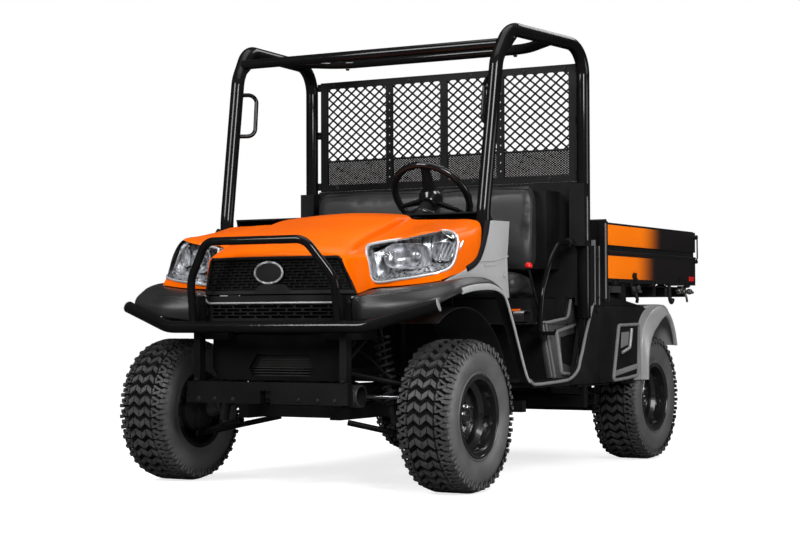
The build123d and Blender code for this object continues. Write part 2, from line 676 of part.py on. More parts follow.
# ---- cargo bed ---------------------------------------------------------------------------------------
def bed_deck():
    """Bed floor on its subframe, with the hinge lugs, the lift pin's lugs and the front wall."""
    frame = block((-706, 706), (BED_Y0 + 30, BED_Y1 - 20), (860, 866))
    for x in (-560, 560):
        frame += block((x - 20, x + 20), (BED_Y0 + 10, BED_Y1 - 30), (815, 861))
    for y in (BED_Y0, 1700, 2090, 2250, BED_Y1 - 60):
        frame += block((-706, 706), (y, y + 40), (815, 861))
    for x in (-420, 420):
        frame += block((x - 12, x + 12), (BED_HINGE[0] - 30, BED_HINGE[0] + 30), (786, 861))
        frame += rod_x(*BED_HINGE, x - 30, x + 30, 13)
    frame += gate_lugs()
    for x in (CYL_X - 26, CYL_X + 26):
        frame += block((x - 5, x + 5), (CYL_EYE[0] - 25, CYL_EYE[0] + 25), (CYL_EYE[1] - 20, 861))
    return frame


def bed_front_wall():
    """Upright wall at the front of the bed with its corner posts."""
    wall = block((-706, 706), (BED_Y0, BED_Y0 + 30), (861, BED_Z1 + 6))
    wall += block((-BED_X, BED_X), (BED_Y0, BED_Y0 + 30), (BED_Z0 + 4, BED_Z1 + 6))
    return wall


GATE_AXIS_X = BED_X - 4     # side gates' hinge line
GATE_AXIS_Y = BED_Y1 - 4    # tailgate's hinge line
GATE_AXIS_Z = 871
GATE_PIN_R = 4
KNUCKLE_R = 8
SIDE_HINGES = (1500, 1979, 2460)   # middles of the hinges along each side gate
TAIL_HINGES = (-560, 0, 560)


def gate_lugs():
    """Lugs and pins on the deck's edges that carry the side gates and the tailgate."""
    lugs = []
    for y in SIDE_HINGES:
        pin = rod_y(GATE_AXIS_X, GATE_AXIS_Z, y - 27, y + 27, GATE_PIN_R)
        for y0 in (y - 27, y + 21):
            pin += block((704, GATE_AXIS_X), (y0, y0 + 6), (861, GATE_AXIS_Z))
            pin += rod_y(GATE_AXIS_X, GATE_AXIS_Z, y0, y0 + 6, KNUCKLE_R)
        lugs += pair(pin)
    for x in TAIL_HINGES:
        pin = rod_x(GATE_AXIS_Y, GATE_AXIS_Z, x - 27, x + 27, GATE_PIN_R)
        for x0 in (x - 27, x + 21):
            pin += block((x0, x0 + 6), (BED_Y1 - 24, GATE_AXIS_Y), (861, GATE_AXIS_Z))
            pin += rod_x(GATE_AXIS_Y, GATE_AXIS_Z, x0, x0 + 6, KNUCKLE_R)
        lugs.append(pin)
    return lugs


def side_gate():
    """Left drop side with its groove and ridge, and hinge knuckles along the bottom."""
    x0 = BED_X - GATE_T
    gate = block((x0, BED_X), (BED_Y0 + 36, BED_Y1), (BED_Z0, BED_Z1))
    gate -= block((BED_X - 10, BED_X + 5), (BED_Y0 + 30, BED_Y1 + 5), (1015, 1048))
    gate += rod_y(BED_X - 6, 1010, BED_Y0 + 36, BED_Y1, 8)
    for y in SIDE_HINGES:
        gate -= block((x0 - 5, BED_X + 5), (y - 34, y + 34), (BED_Z0 - 5, BED_Z0 + 12))
        knuckle = block((BED_X - 14, BED_X), (y - 18, y + 18), (GATE_AXIS_Z, BED_Z0 + 13))
        knuckle += rod_y(GATE_AXIS_X, GATE_AXIS_Z, y - 18, y + 18, KNUCKLE_R)
        gate += knuckle - rod_y(GATE_AXIS_X, GATE_AXIS_Z, y - 20, y + 20, GATE_PIN_R + PIN_GAP)
    return gate


def tailgate():
    """Rear drop gate between the side gates, with its latch caps and hinge knuckles."""
    y0 = BED_Y1 - GATE_T
    gate = block((-708, 708), (y0, BED_Y1), (BED_Z0, BED_Z1 - 4))
    for side in (-1, 1):
        gate += block(sorted((side * 640, side * 700)), (BED_Y1 - 4, BED_Y1 + 6), (1060, 1110))
    for x in TAIL_HINGES:
        gate -= block((x - 34, x + 34), (y0 - 5, BED_Y1 + 5), (BED_Z0 - 5, BED_Z0 + 12))
        knuckle = block((x - 18, x + 18), (BED_Y1 - 14, BED_Y1), (GATE_AXIS_Z, BED_Z0 + 13))
        knuckle += rod_x(GATE_AXIS_Y, GATE_AXIS_Z, x - 18, x + 18, KNUCKLE_R)
        gate += knuckle - rod_x(GATE_AXIS_Y, GATE_AXIS_Z, x - 20, x + 20, GATE_PIN_R + PIN_GAP)
    return gate


# ---- lift cylinder -----------------------------------------------------------------------------------
def cylinder_axis():
    """Start point and unit direction of the lift cylinder."""
    start = Vector(CYL_X, *CYL_BASE)
    return start, (Vector(CYL_X, *CYL_EYE) - start).normalized()


def lift_barrel():
    """Barrel with its base eye."""
    start, way = cylinder_axis()
    x = CYL_X
    barrel = rod(start + way * 20, start + way * 400, 28) + rod_x(*CYL_BASE, x - 29, x + 29, 22)
    return barrel - rod(start + way * 60, start + way * 410, 16.5) - rod_x(*CYL_BASE, x - 30, x + 30, 8)


def lift_rod():
    """Chromed rod with its eye."""
    start, way = cylinder_axis()
    x = CYL_X
    length = (Vector(x, *CYL_EYE) - start).length
    bar = rod(start + way * 90, start + way * (length - 14), 15.5) + rod_x(*CYL_EYE, x - 14, x + 14, 20)
    return bar + rod_x(*CYL_EYE, x - 18, x + 18, 9)


def build():
    os.makedirs("parts", exist_ok=True)
    for name, side in (("left", 1), ("right", -1)):
        for end, track, y in (("front", TRACK_FRONT, 0), ("rear", TRACK_REAR, WHEELBASE)):
            write(f"tyre_{end}_{name}", place_wheel(tyre(), side, track, y))
            write(f"rim_{end}_{name}", place_wheel(rim(), side, track, y))
        hand = (lambda part: part) if side > 0 else mirrored
        write(f"knuckle_{name}", hand(knuckle()))
        write(f"tie_rod_{name}", hand(tie_rod()))
        write(f"roll_bar_{name}", hand(roll_bar()))
        write(f"side_gate_{name}", hand(side_gate()))
    write("chassis_frame", *chassis_frame())
    write("front_subframe", *front_subframe())
    write("rear_subframe", *rear_subframe())
    write("suspension_arms", suspension_arms())
    write("shock_absorbers", shock_absorbers())
    write("driveline", driveline())
    write("half_shafts", half_shafts())
    write("rear_axle", rear_axle())
    write("steering_rack", steering_rack())
    write("hood", hood())
    write("headlights", headlights())
    write("upper_grille", upper_grille())
    write("front_fascia", front_fascia())
    write("radiator", radiator())
    write("bumper_bar", bumper_bar())
    write("brush_guard", brush_guard())
    write("front_fenders", pair(front_fender()))
    write("side_cowls", pair(side_cowl()))
    write("dashboard", dashboard())
    write("steering_column", steering_column())
    write("steering_wheel", steering_wheel())
    write("floor_pan", floor_pan())
    write("seat_base", seat_base())
    write("seat_cushions", seat_cushions())
    write("seat_backs", seat_backs())
    write("bulkhead", bulkhead())
    write("hip_guards", pair(hip_guard()))
    write("controls", controls())
    write("roof_hoops", roof_hoops())
    write("rear_screen_frame", rear_screen_frame())
    write("rear_screen_mesh", rear_screen_mesh())
    write("rear_fenders", pair(rear_fender()))
    write("engine_block", engine_block())
    write("muffler", muffler())
    write("bed_deck", bed_deck())
    write("bed_front_wall", bed_front_wall())
    write("tailgate", tailgate())
    write("lift_barrel", lift_barrel())
    write("lift_rod", lift_rod())


build()
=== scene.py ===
import math

import bpy
import numpy as np
from mathutils import Matrix


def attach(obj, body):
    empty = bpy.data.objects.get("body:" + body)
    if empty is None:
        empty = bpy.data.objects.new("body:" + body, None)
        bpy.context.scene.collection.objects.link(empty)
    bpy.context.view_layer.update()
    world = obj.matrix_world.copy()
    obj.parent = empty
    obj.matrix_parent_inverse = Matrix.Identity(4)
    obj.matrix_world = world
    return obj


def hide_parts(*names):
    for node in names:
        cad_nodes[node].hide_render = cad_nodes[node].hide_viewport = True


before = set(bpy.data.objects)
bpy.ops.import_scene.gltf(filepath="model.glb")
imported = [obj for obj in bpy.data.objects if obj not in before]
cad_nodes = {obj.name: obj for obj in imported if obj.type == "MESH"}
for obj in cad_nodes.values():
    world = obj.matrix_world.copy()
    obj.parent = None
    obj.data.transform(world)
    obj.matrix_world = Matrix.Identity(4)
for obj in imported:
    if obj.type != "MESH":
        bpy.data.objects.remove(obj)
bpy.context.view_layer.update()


# ---- welded frame and its black paint ----
# The frame is square steel tube, cut, welded and powder coated black.
# It carries the axles, the cab floor, the roll bar and the bed's hinge.
def finish(name, tint, other, rough, metal=0.0, patch=4.0, grain=500.0, depth=0.15, coat=0.0,
           stretch=(1, 1, 1), shine=0.15, glint=(1, 1, 1)):
    """Finish whose colour drifts from tint to other in patches, with a fine raised grain.

    patch and grain are noise counts per metre, depth is the grain's strength, shine and glint
    the strength and colour of reflection. Roughness drifts between rough and 1.25 rough with the
    patches."""
    made = bpy.data.materials.new(name)
    made.use_nodes = True
    nodes, links = made.node_tree.nodes, made.node_tree.links
    shader = nodes["Principled BSDF"]
    place = nodes.new("ShaderNodeTexCoord")
    turn = nodes.new("ShaderNodeMapping")
    turn.inputs["Scale"].default_value = stretch
    links.new(place.outputs["Object"], turn.inputs["Vector"])
    broad = nodes.new("ShaderNodeTexNoise")
    broad.inputs["Scale"].default_value = patch
    broad.inputs["Detail"].default_value = 5.0
    fine = nodes.new("ShaderNodeTexNoise")
    fine.inputs["Scale"].default_value = grain
    fine.inputs["Detail"].default_value = 3.0
    links.new(turn.outputs["Vector"], broad.inputs["Vector"])
    links.new(turn.outputs["Vector"], fine.inputs["Vector"])
    ramp = nodes.new("ShaderNodeValToRGB")
    ramp.color_ramp.elements[0].position = 0.35
    ramp.color_ramp.elements[1].position = 0.7
    ramp.color_ramp.elements[0].color = (*tint, 1)
    ramp.color_ramp.elements[1].color = (*other, 1)
    links.new(broad.outputs["Fac"], ramp.inputs["Fac"])
    links.new(ramp.outputs["Color"], shader.inputs["Base Color"])
    spread = nodes.new("ShaderNodeMapRange")
    spread.inputs["From Min"].default_value = 0.3
    spread.inputs["From Max"].default_value = 0.7
    spread.inputs["To Min"].default_value = rough
    spread.inputs["To Max"].default_value = min(rough * 1.25, 1.0)
    links.new(broad.outputs["Fac"], spread.inputs["Value"])
    links.new(spread.outputs["Result"], shader.inputs["Roughness"])
    bump = nodes.new("ShaderNodeBump")
    bump.inputs["Strength"].default_value = depth
    bump.inputs["Distance"].default_value = 0.001
    links.new(fine.outputs["Fac"], bump.inputs["Height"])
    links.new(bump.outputs["Normal"], shader.inputs["Normal"])
    shader.inputs["Metallic"].default_value = metal
    shader.inputs["Specular IOR Level"].default_value = shine
    shader.inputs["Specular Tint"].default_value = (*glint, 1)
    shader.inputs["Coat Weight"].default_value = coat
    shader.inputs["Coat Roughness"].default_value = 0.08
    return made


def dress(material, *names):
    """Give CAD nodes a finish in place of their plain one."""
    for name in names:
        mesh = cad_nodes[name].data
        mesh.materials.clear()
        mesh.materials.append(material)


frame_paint = finish("frame_paint", (0.003, 0.003, 0.0034), (0.006, 0.006, 0.0064), 0.3, grain=900,
                     depth=0.12, coat=0.15)
dress(frame_paint, "chassis_frame", "front_subframe", "rear_subframe", "suspension_arms", "rear_axle")


# ---- cast and machined running gear ----
# Castings are rough grey-black iron; the shafts, rods and rack are machined steel, though here only
# the rods take the machined finish and the shafts and rack take the iron.
cast_iron = finish("cast_iron", (0.012, 0.012, 0.0125), (0.026, 0.025, 0.024), 0.6, metal=0.2,
                   patch=9, grain=260, depth=0.5)
machined = finish("machined_steel", (0.42, 0.42, 0.43), (0.3, 0.3, 0.31), 0.3, metal=1.0,
                  patch=20, grain=700, depth=0.08, stretch=(1, 0.15, 1))
dress(cast_iron, "driveline", "engine_block", "knuckle_left", "knuckle_right", "steering_rack",
      "radiator", "lift_barrel", "muffler", "half_shafts", "shock_absorbers")
dress(machined, "tie_rod_left", "tie_rod_right", "lift_rod", "controls")


# ---- tyres ----
# All-terrain tyres, 25 inches tall on 12 inch rims: a smooth rubber body with zigzag lugs
# across the middle of the tread and triangular blocks on both shoulders.
AXLE_TO_MIDDLE = 1062.0
WHEEL_PLACES = {"front_left": (685, 0, 1), "front_right": (-685, 0, -1),
                "rear_left": (625, 2045, 1), "rear_right": (-625, 2045, -1)}
TYRE_R = 310.0
LUG_H = 12.0
PITCHES = 40
SIDEWALL_R = 284.0


def from_axle(points):
    """Millimetres measured from the front axle, to metres in the vehicle's frame."""
    return (np.asarray(points, float) - (0, AXLE_TO_MIDDLE, 0)) / 1000


def grid_faces(rows, cols, around=False, along=False):
    """Quads between neighbours on a rows x cols grid, closed round the columns or the rows."""
    i = np.arange(rows if along else rows - 1)
    j = np.arange(cols if around else cols - 1)
    i, j = [a.ravel() for a in np.meshgrid(i, j, indexing="ij")]
    i2, j2 = (i + 1) % rows, (j + 1) % cols
    return np.stack([i * cols + j, i * cols + j2, i2 * cols + j2, i2 * cols + j], 1).tolist()


def sheet(grid, around=False, along=False, caps=False):
    """Shape from a grid of points, with flat ends when caps is true."""
    grid = np.asarray(grid, float)
    rows, cols = grid.shape[:2]
    faces = grid_faces(rows, cols, around, along)
    if caps:
        faces.append(list(range(cols))[::-1])
        faces.append([(rows - 1) * cols + j for j in range(cols)])
    return grid.reshape(-1, 3), faces


def turned(profile, centre=(0, 0, 0), steps=48, axis="x", closed=False, sides=None):
    """Profile of (along, radius) points turned about an axis through centre.

    Each point goes to along on the axis and radius times the cosine and sine across it."""
    profile = np.asarray(profile, float)
    angle = np.linspace(0, 2 * math.pi, (sides or steps), endpoint=False) + (math.pi / 6 if sides else 0)
    a, r = profile[:, :1], profile[:, 1:]
    flat = np.zeros_like(angle)
    parts = [a + flat, r * np.cos(angle), r * np.sin(angle)]
    order = {"x": (0, 1, 2), "y": (2, 0, 1), "z": (1, 2, 0)}[axis]
    grid = np.stack([parts[k] for k in order], 2) + np.asarray(centre, float)
    ends = not closed and profile[0, 1] > 0.01
    return sheet(grid, around=True, along=closed, caps=ends)


def merged(shapes):
    """One list of points and faces from several shapes."""
    points, faces, count = [], [], 0
    for p, f in shapes:
        points.append(p)
        faces += [[k + count for k in face] for face in f]
        count += len(p)
    return np.concatenate(points), faces


def moved(shape, shift):
    """The same shape shifted by x, y, z."""
    return shape[0] + np.asarray(shift, float), shape[1]


def other_side(shape):
    """The same shape on the vehicle's right."""
    return shape[0] * (-1, 1, 1), [face[::-1] for face in shape[1]]


def both(*shapes):
    """The shapes on the vehicle's left and their mirror images on its right."""
    return list(shapes) + [other_side(s) for s in shapes]


def piece(name, shapes, material, body="root", stands_for=(), slot=None, crease=35, outward=True,
          keep_metres=False):
    """Join shapes into one object on a body, smooth except along edges sharper than crease."""
    points, faces = merged(shapes)
    mesh = bpy.data.meshes.new(name)
    mesh.from_pydata((points if keep_metres else from_axle(points)).tolist(), [], faces)
    made = bpy.data.objects.new(name, mesh)
    bpy.context.scene.collection.objects.link(made)
    if outward:
        import bmesh
        work = bmesh.new()
        work.from_mesh(mesh)
        bmesh.ops.remove_doubles(work, verts=work.verts, dist=1e-6)
        bmesh.ops.recalc_face_normals(work, faces=work.faces)
        work.to_mesh(mesh)
        work.free()
    mesh.materials.append(material)
    mesh.shade_smooth()
    mesh.set_sharp_from_angle(angle=math.radians(crease))
    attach(made, body)
    if stands_for:
        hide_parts(*stands_for)
    return made


def crown(x):
    """Radius of the tread's base at x across the tyre: flat, then falling at the shoulders."""
    fall = np.clip((np.abs(x) - 58) / 50, 0, 1)
    return TYRE_R - LUG_H - 16 * fall ** 2.0


def lug(corners, low, high, taper=2.0):
    """Block on the tread: corners are (x, distance round the tread); it narrows by taper to its top."""
    c = np.asarray(corners, float)
    middle = c.mean(0)
    inner = c + (middle - c) / np.linalg.norm(middle - c, axis=1, keepdims=True) * taper
    rings = []
    for ring, up in ((c, low), (inner, high)):
        angle = ring[:, 1] / TYRE_R
        radius = crown(ring[:, 0]) + up
        rings.append(np.stack([ring[:, 0], radius * np.cos(angle), radius * np.sin(angle)], 1))
    n = len(c)
    faces = [[i, (i + 1) % n, n + (i + 1) % n, n + i] for i in range(n)] + [list(range(n, 2 * n))]
    return np.concatenate(rings), faces


def tyre_shape():
    """Tyre about the X axis, its outer side towards +X."""
    outside = [(-101, 153), (-103, 166), (-103, 178), (-108, 188), (-114, 203), (-117, 225), (-115, 248),
               (-107, 268), (-96, 285)]
    tread = [(x, crown(np.array(x))) for x in (-88, -60, -30, 0, 30, 60, 88)]
    inside = [(88, 158), (96, 200), (98, 240), (86, 270), (0, 284), (-86, 270), (-98, 240), (-96, 200),
              (-88, 158)]
    bead = [(106.5, 178), (106.5, 175), (104, 173), (103, 166), (101, 153)]
    wall = [(96, 285), (107, 268), (115, 248), (117, 225), (114, 203), (108, 188), (104, 181)]
    shapes = [turned(outside + tread + wall + bead + inside, steps=160, closed=True)]
    arms = []
    for k, x0 in enumerate((-58, -29, 0, 29)):
        rise = 20 if k % 2 else -20
        lo, hi = -rise / 2, rise / 2
        arms.append([(x0 + 0.8, lo - 13), (x0 + 28.2, hi - 13), (x0 + 28.2, hi + 13), (x0 + 0.8, lo + 13)])
    edge = []
    for s in (-1, 1):
        edge.append([(s * 63, -20), (s * 70, -21), (s * 101, -3), (s * 101, 5), (s * 96, 6), (s * 64, -12)])
        edge.append([(s * 63, 20), (s * 64, 12), (s * 96, 2), (s * 101, 8), (s * 100, 12), (s * 70, 22)])
        edge.append([(s * 63, -10), (s * 71, -8), (s * 71, 11), (s * 63, 13)])
        edge.append([(s * 82, 16), (s * 104, 14), (s * 104, 32), (s * 90, 30)])
    for k in range(PITCHES):
        turn = 2 * math.pi * k / PITCHES
        spin = np.array([[1, 0, 0], [0, math.cos(turn), -math.sin(turn)],
                         [0, math.sin(turn), math.cos(turn)]])
        for corners in arms + edge:
            p, f = lug(corners, -3, LUG_H)
            shapes.append((p @ spin.T, f))
        for s in (-1, 1):
            for shift, depth in ((0, 262), (24, 272)):
                a0, a1 = (shift - 8) / TYRE_R, (shift + 8) / TYRE_R
                ring = np.array([(s * 98, 292, a0), (s * 98, 292, a1), (s * 116, depth, a1 - 0.01),
                                 (s * 116, depth, a0 + 0.01), (s * 100, 298, a0), (s * 100, 298, a1),
                                 (s * 113, depth + 24, a1), (s * 113, depth + 24, a0)])
                x, radius, turned_by = ring.T
                p = np.stack([x, radius * np.cos(turned_by), radius * np.sin(turned_by)], 1)
                f = [[4, 5, 6, 7], [0, 1, 5, 4], [1, 2, 6, 5], [2, 3, 7, 6], [3, 0, 4, 7]]
                shapes.append((p @ spin.T, f))
    return merged(shapes)


rubber = finish("tyre_rubber", (0.026, 0.026, 0.0265), (0.042, 0.042, 0.0425), 0.45, patch=14, grain=420,
                depth=0.25, shine=0.3)
# Near-black copy of the rubber for the tread's floor between the lugs: painted shade in the grooves.
groove = finish("tyre_grooves_painted_shade", (0.003, 0.003, 0.003), (0.007, 0.007, 0.007), 0.8, patch=14, grain=420,
                depth=0.25, shine=0.05)
# Lighter copy of the rubber for the sidewalls: partly dust, partly painted light from the side lamp.
sidewall_dust_and_light = finish("tyre_sidewall_dust_and_light", (0.06, 0.06, 0.06), (0.085, 0.085, 0.084), 0.42, shine=0.9,
                  patch=10, grain=420, depth=0.25)
one_tyre = tyre_shape()
for place, (x, y, side) in WHEEL_PLACES.items():
    shape = one_tyre if side > 0 else other_side(one_tyre)
    tyre = piece(f"tread_tyre_{place}", [moved(shape, (x, y, TYRE_R))], rubber, f"wheel_{place}",
                 [f"tyre_{place}"], "tyre_rubber", crease=30)
    tyre.data.materials.append(sidewall_dust_and_light)
    tyre.data.materials.append(groove)
    middles = np.empty(len(tyre.data.polygons) * 3)
    tyre.data.polygons.foreach_get("center", middles)
    middles = (middles.reshape(-1, 3) - from_axle((x, y, TYRE_R))) * 1000
    out = np.hypot(middles[:, 1], middles[:, 2])
    # Tread floor faces take the painted groove shade; faces under SIDEWALL_R take the sidewall rubber,
    # lighter as dust and painted light.
    base = (out < crown(middles[:, 0]) + 1) & (np.abs(middles[:, 0]) < 108)
    tyre.data.polygons.foreach_set("material_index", np.where(out < SIDEWALL_R, 1, base * 2).astype(np.int32))


# ---- rims ----
# Pressed steel rims, welded to a dished disc and painted gloss black, with a cast hub cap
# and four nuts on a bolt circle.
def ring_of(shape, count, radius, first=0.0):
    """Copies of a shape (made at the axis) set round the X axis at a radius."""
    out = []
    for k in range(count):
        turn = first + 2 * math.pi * k / count
        spin = np.array([[1, 0, 0], [0, math.cos(turn), -math.sin(turn)],
                         [0, math.sin(turn), math.cos(turn)]])
        out.append(((shape[0] + (0, radius, 0)) @ spin.T, shape[1]))
    return out


def rim_shape():
    """Rim about the X axis, its outer side towards +X."""
    barrel = [(-107, 168), (-104, 169), (-101, 166), (-100, 153), (-62, 151), (-48, 128), (30, 128),
              (46, 151), (98, 153), (100, 164), (103, 170), (107, 170), (109, 167), (108, 163), (104, 160),
              (103, 150), (88, 147), (50, 146), (36, 124), (-50, 124), (-64, 147), (-104, 148)]
    disc = [(-4, 125), (4, 125), (12, 118), (24, 108), (27, 98), (26, 86), (20, 76), (19, 62), (24, 46),
            (24, 20), (20, 20), (16, 62), (15, 76), (20, 90), (20, 98), (16, 106), (0, 118)]
    cap = [(19, 38), (30, 37), (44, 33), (48, 28), (50, 24), (50, 12), (54, 10), (55, 0.001)]
    slot = turned([(18, 12), (27.5, 12), (27.8, 9), (22, 8.4)], steps=16)
    shapes = [turned(barrel, steps=96, closed=True), turned(disc, steps=96, closed=True),
              turned(cap, steps=48)]
    shapes += ring_of(slot, 8, 92, math.pi / 8)
    valve = turned([(60, 4), (84, 3.6), (86, 3)], steps=10)
    shapes.append(moved(valve, (0, 134, 0)))
    return merged(shapes)


rim_paint = finish("rim_paint", (0.006, 0.006, 0.0065), (0.01, 0.01, 0.0105), 0.22, grain=600, depth=0.04,
                   coat=1.0, shine=0.5)
one_rim = rim_shape()
nut = turned([(20, 13), (34, 12.4), (37, 9.5)], sides=6)
stud = turned([(34, 6), (43, 6), (44, 4.5)], steps=12)
nuts = merged(ring_of(nut, 4, 50, math.pi / 4) + ring_of(stud, 4, 50, math.pi / 4))
for place, (x, y, side) in WHEEL_PLACES.items():
    for name, shape, material in (("wheel_rim", one_rim, rim_paint), ("wheel_nuts", nuts, machined)):
        shape = moved(shape if side > 0 else other_side(shape), (x, y, TYRE_R))
        stands_for = ([f"rim_{place}"], "black_paint") if name == "wheel_rim" else ((), None)
        piece(f"{name}_{place}", [shape], material, f"wheel_{place}", *stands_for, crease=40)


# ---- hood ----
# One-piece moulded hood in orange, about 4 mm thick, with a raised middle, a shallow valley on
# each side and bulges over the lamps. It is trimmed by router and hinged at its rear edge.
def spline(points, count, closed=False):
    """Catmull-Rom curve through points along axis 0, at count even steps of its parameter."""
    p = np.asarray(points, float)
    if closed:
        p = np.concatenate([p[-1:], p, p[:2]])
    else:
        p = np.concatenate([2 * p[:1] - p[1:2], p, 2 * p[-1:] - p[-2:-1]])
    t = np.linspace(0, len(p) - 3, count, endpoint=not closed)
    i = np.minimum(t.astype(int), len(p) - 4)
    f = (t - i).reshape((-1,) + (1,) * (p.ndim - 1))
    a, b, c, d = p[i], p[i + 1], p[i + 2], p[i + 3]
    return 0.5 * (2 * b + (c - a) * f + (2 * a - 5 * b + 4 * c - d) * f ** 2
                  + (3 * b - a - 3 * c + d) * f ** 3)


def net(rows, long_steps, cross_steps):
    """Smooth surface through a net of control points, one row per section."""
    rows = spline(np.asarray(rows, float), long_steps)
    return spline(rows.transpose(1, 0, 2), cross_steps).transpose(1, 0, 2)


def thick(grid, depth):
    """Closed sheet: the grid and its copy pushed by depth along the grid's normals, joined round the edge."""
    grid = np.asarray(grid, float)
    normal = np.cross(np.gradient(grid, axis=0), np.gradient(grid, axis=1))
    normal /= np.maximum(np.linalg.norm(normal, axis=2, keepdims=True), 1e-9)
    rows, cols = grid.shape[:2]
    points = np.concatenate([grid.reshape(-1, 3), (grid + normal * depth).reshape(-1, 3)])
    n = rows * cols
    front = grid_faces(rows, cols)
    faces = front + [[k + n for k in face[::-1]] for face in front]
    top, bottom = [j for j in range(cols)], [(rows - 1) * cols + j for j in range(cols)]
    left, right = [i * cols for i in range(rows)], [i * cols + cols - 1 for i in range(rows)]
    loop = top + right[1:] + bottom[::-1][1:] + left[::-1][1:-1]
    faces += [[a, a + n, b + n, b] for a, b in zip(loop, loop[1:] + loop[:1])]
    return points, faces


def cut(target, tool, how):
    """Boolean of target with tool, applied, then the tool is thrown away."""
    step = target.modifiers.new("cut", "BOOLEAN")
    step.operation = how
    step.solver = "EXACT"
    step.object = tool
    shown = bpy.context.evaluated_depsgraph_get()
    mesh = bpy.data.meshes.new_from_object(target.evaluated_get(shown))
    target.modifiers.clear()
    target.data = mesh
    bpy.data.objects.remove(tool)


def blank(shapes):
    """Bare object for cutting with."""
    points, faces = merged(shapes)
    mesh = bpy.data.meshes.new("blank")
    mesh.from_pydata(from_axle(points).tolist(), [], faces)
    made = bpy.data.objects.new("blank", mesh)
    bpy.context.scene.collection.objects.link(made)
    import bmesh
    work = bmesh.new()
    work.from_mesh(mesh)
    bmesh.ops.recalc_face_normals(work, faces=work.faces)
    work.to_mesh(mesh)
    work.free()
    return made


HOOD_NET = [
    [(0, 300, 1167), (170, 300, 1161), (280, 300, 1151), (318, 300, 1132), (378, 298, 1128),
     (503, 290, 1125), (645, 272, 1112), (690, 215, 1030), (700, 163, 925)],
    [(0, 190, 1148), (170, 190, 1143), (292, 190, 1134), (320, 188, 1098), (372, 190, 1094),
     (520, 185, 1104), (640, 170, 1090), (694, 150, 1035), (701, 120, 914)],
    [(0, 60, 1112), (170, 60, 1107), (294, 60, 1098), (322, 57, 1056), (374, 58, 1056),
     (520, 50, 1076), (634, 35, 1068), (690, 20, 1010), (702, 0, 888)],
    [(0, -80, 1075), (170, -80, 1070), (296, -80, 1058), (324, -80, 1018), (376, -78, 1018),
     (505, -68, 1044), (622, -45, 1062), (682, -45, 1010), (700, -70, 876)],
    [(0, -200, 1038), (170, -198, 1032), (300, -190, 1014), (330, -175, 980), (384, -150, 978),
     (500, -128, 1027), (608, -88, 1049), (668, -88, 990), (697, -100, 868)],
    [(0, -300, 998), (170, -296, 992), (300, -280, 976), (345, -252, 957), (394, -176, 953),
     (500, -156, 985), (600, -120, 1003), (658, -112, 950), (692, -120, 862)],
    [(0, -332, 952), (170, -326, 949), (306, -302, 936), (352, -268, 922), (400, -179, 910),
     (505, -170, 925), (600, -146, 930), (654, -130, 910), (688, -132, 860)],
    [(0, -338, 806), (170, -332, 806), (318, -300, 806), (371, -258, 806), (408, -182, 830),
     (520, -173, 837), (620, -158, 846), (668, -144, 853), (691, -134, 858)]]
LAMP_RING = [(404, -178, 855), (520, -172, 862), (623, -150, 876), (672, -125, 888), (694, -80, 905),
             (697, -40, 933), (694, -10, 975), (688, 12, 1011), (670, 30, 1043), (640, 5, 1062),
             (590, -40, 1052), (497, -115, 1027), (384, -160, 1008), (366, -174, 985), (380, -180, 925)]
LAMP_OUT = np.array([0.49, -0.87, -0.03])
GRILLE_EDGE = [(-306, 957), (306, 957), (322, 948), (352, 870), (374, 790), (-374, 790), (-352, 870),
               (-322, 948)]


def hood_skin(inset):
    """Hood's outer surface, pushed inwards by inset."""
    half = np.array(HOOD_NET, float)
    whole = np.concatenate([(half[:, :0:-1] * (-1, 1, 1)), half], axis=1)
    grid = net(whole, 130, 220)
    normal = np.cross(np.gradient(grid, axis=0), np.gradient(grid, axis=1))
    normal /= np.linalg.norm(normal, axis=2, keepdims=True)
    if normal[:, :, 2].mean() > 0:
        normal = -normal
    return grid + normal * inset


def inward(grid, depth):
    """Sheet from an outer grid with its thickness towards the vehicle's inside."""
    normal = np.cross(np.gradient(grid, axis=0), np.gradient(grid, axis=1))
    return thick(grid, -depth if normal[:, :, 2].mean() > 0 else depth)


def across(outline, y0, y1):
    """Prism along Y from an outline of (x, z)."""
    n = len(outline)
    points = np.array([(x, y, z) for y in (y0, y1) for x, z in outline], float)
    faces = [[i, (i + 1) % n, n + (i + 1) % n, n + i] for i in range(n)]
    return points, faces + [list(range(n))[::-1], list(range(n, 2 * n))]


def lamp_plug(grow, out, back):
    """Prism through the left lamp's ring, along its facing direction."""
    ring = spline(LAMP_RING, 72, closed=True)
    centre = ring.mean(0)
    ring = centre + (ring - centre) * grow
    return sheet(np.stack([ring + LAMP_OUT * out, ring - LAMP_OUT * back]), around=True, caps=True)


orange = finish("orange_paint", (0.64, 0.092, 0.0001), (0.7, 0.108, 0.0002), 0.3, patch=3, grain=800,
                depth=0.02, coat=0.01, shine=0.2, glint=(1, 0.35, 0))
hood = piece("hood_shell", [inward(hood_skin(0), 4.0)], orange, "hood", ["hood"], "orange_paint")
cut(hood, blank([across(GRILLE_EDGE, -460, -120)]), "DIFFERENCE")
cut(hood, blank(both(lamp_plug(1.0, 90, 60))), "DIFFERENCE")
hood.data.set_sharp_from_angle(angle=math.radians(35))


def hinge_knuckles():
    """Knuckles under the hood's rear edge, each a short tube with a web up to the skin."""
    tube = turned([(180, 4.2), (180, 8), (200, 8), (200, 4.2)], (0, 300, 1132), 24, closed=True)
    web = across([(180, 1134), (200, 1134), (200, 1152), (180, 1152)], 272, 300)
    return both(tube, web)


piece("hood_hinge_knuckles", hinge_knuckles(), frame_paint, "hood")
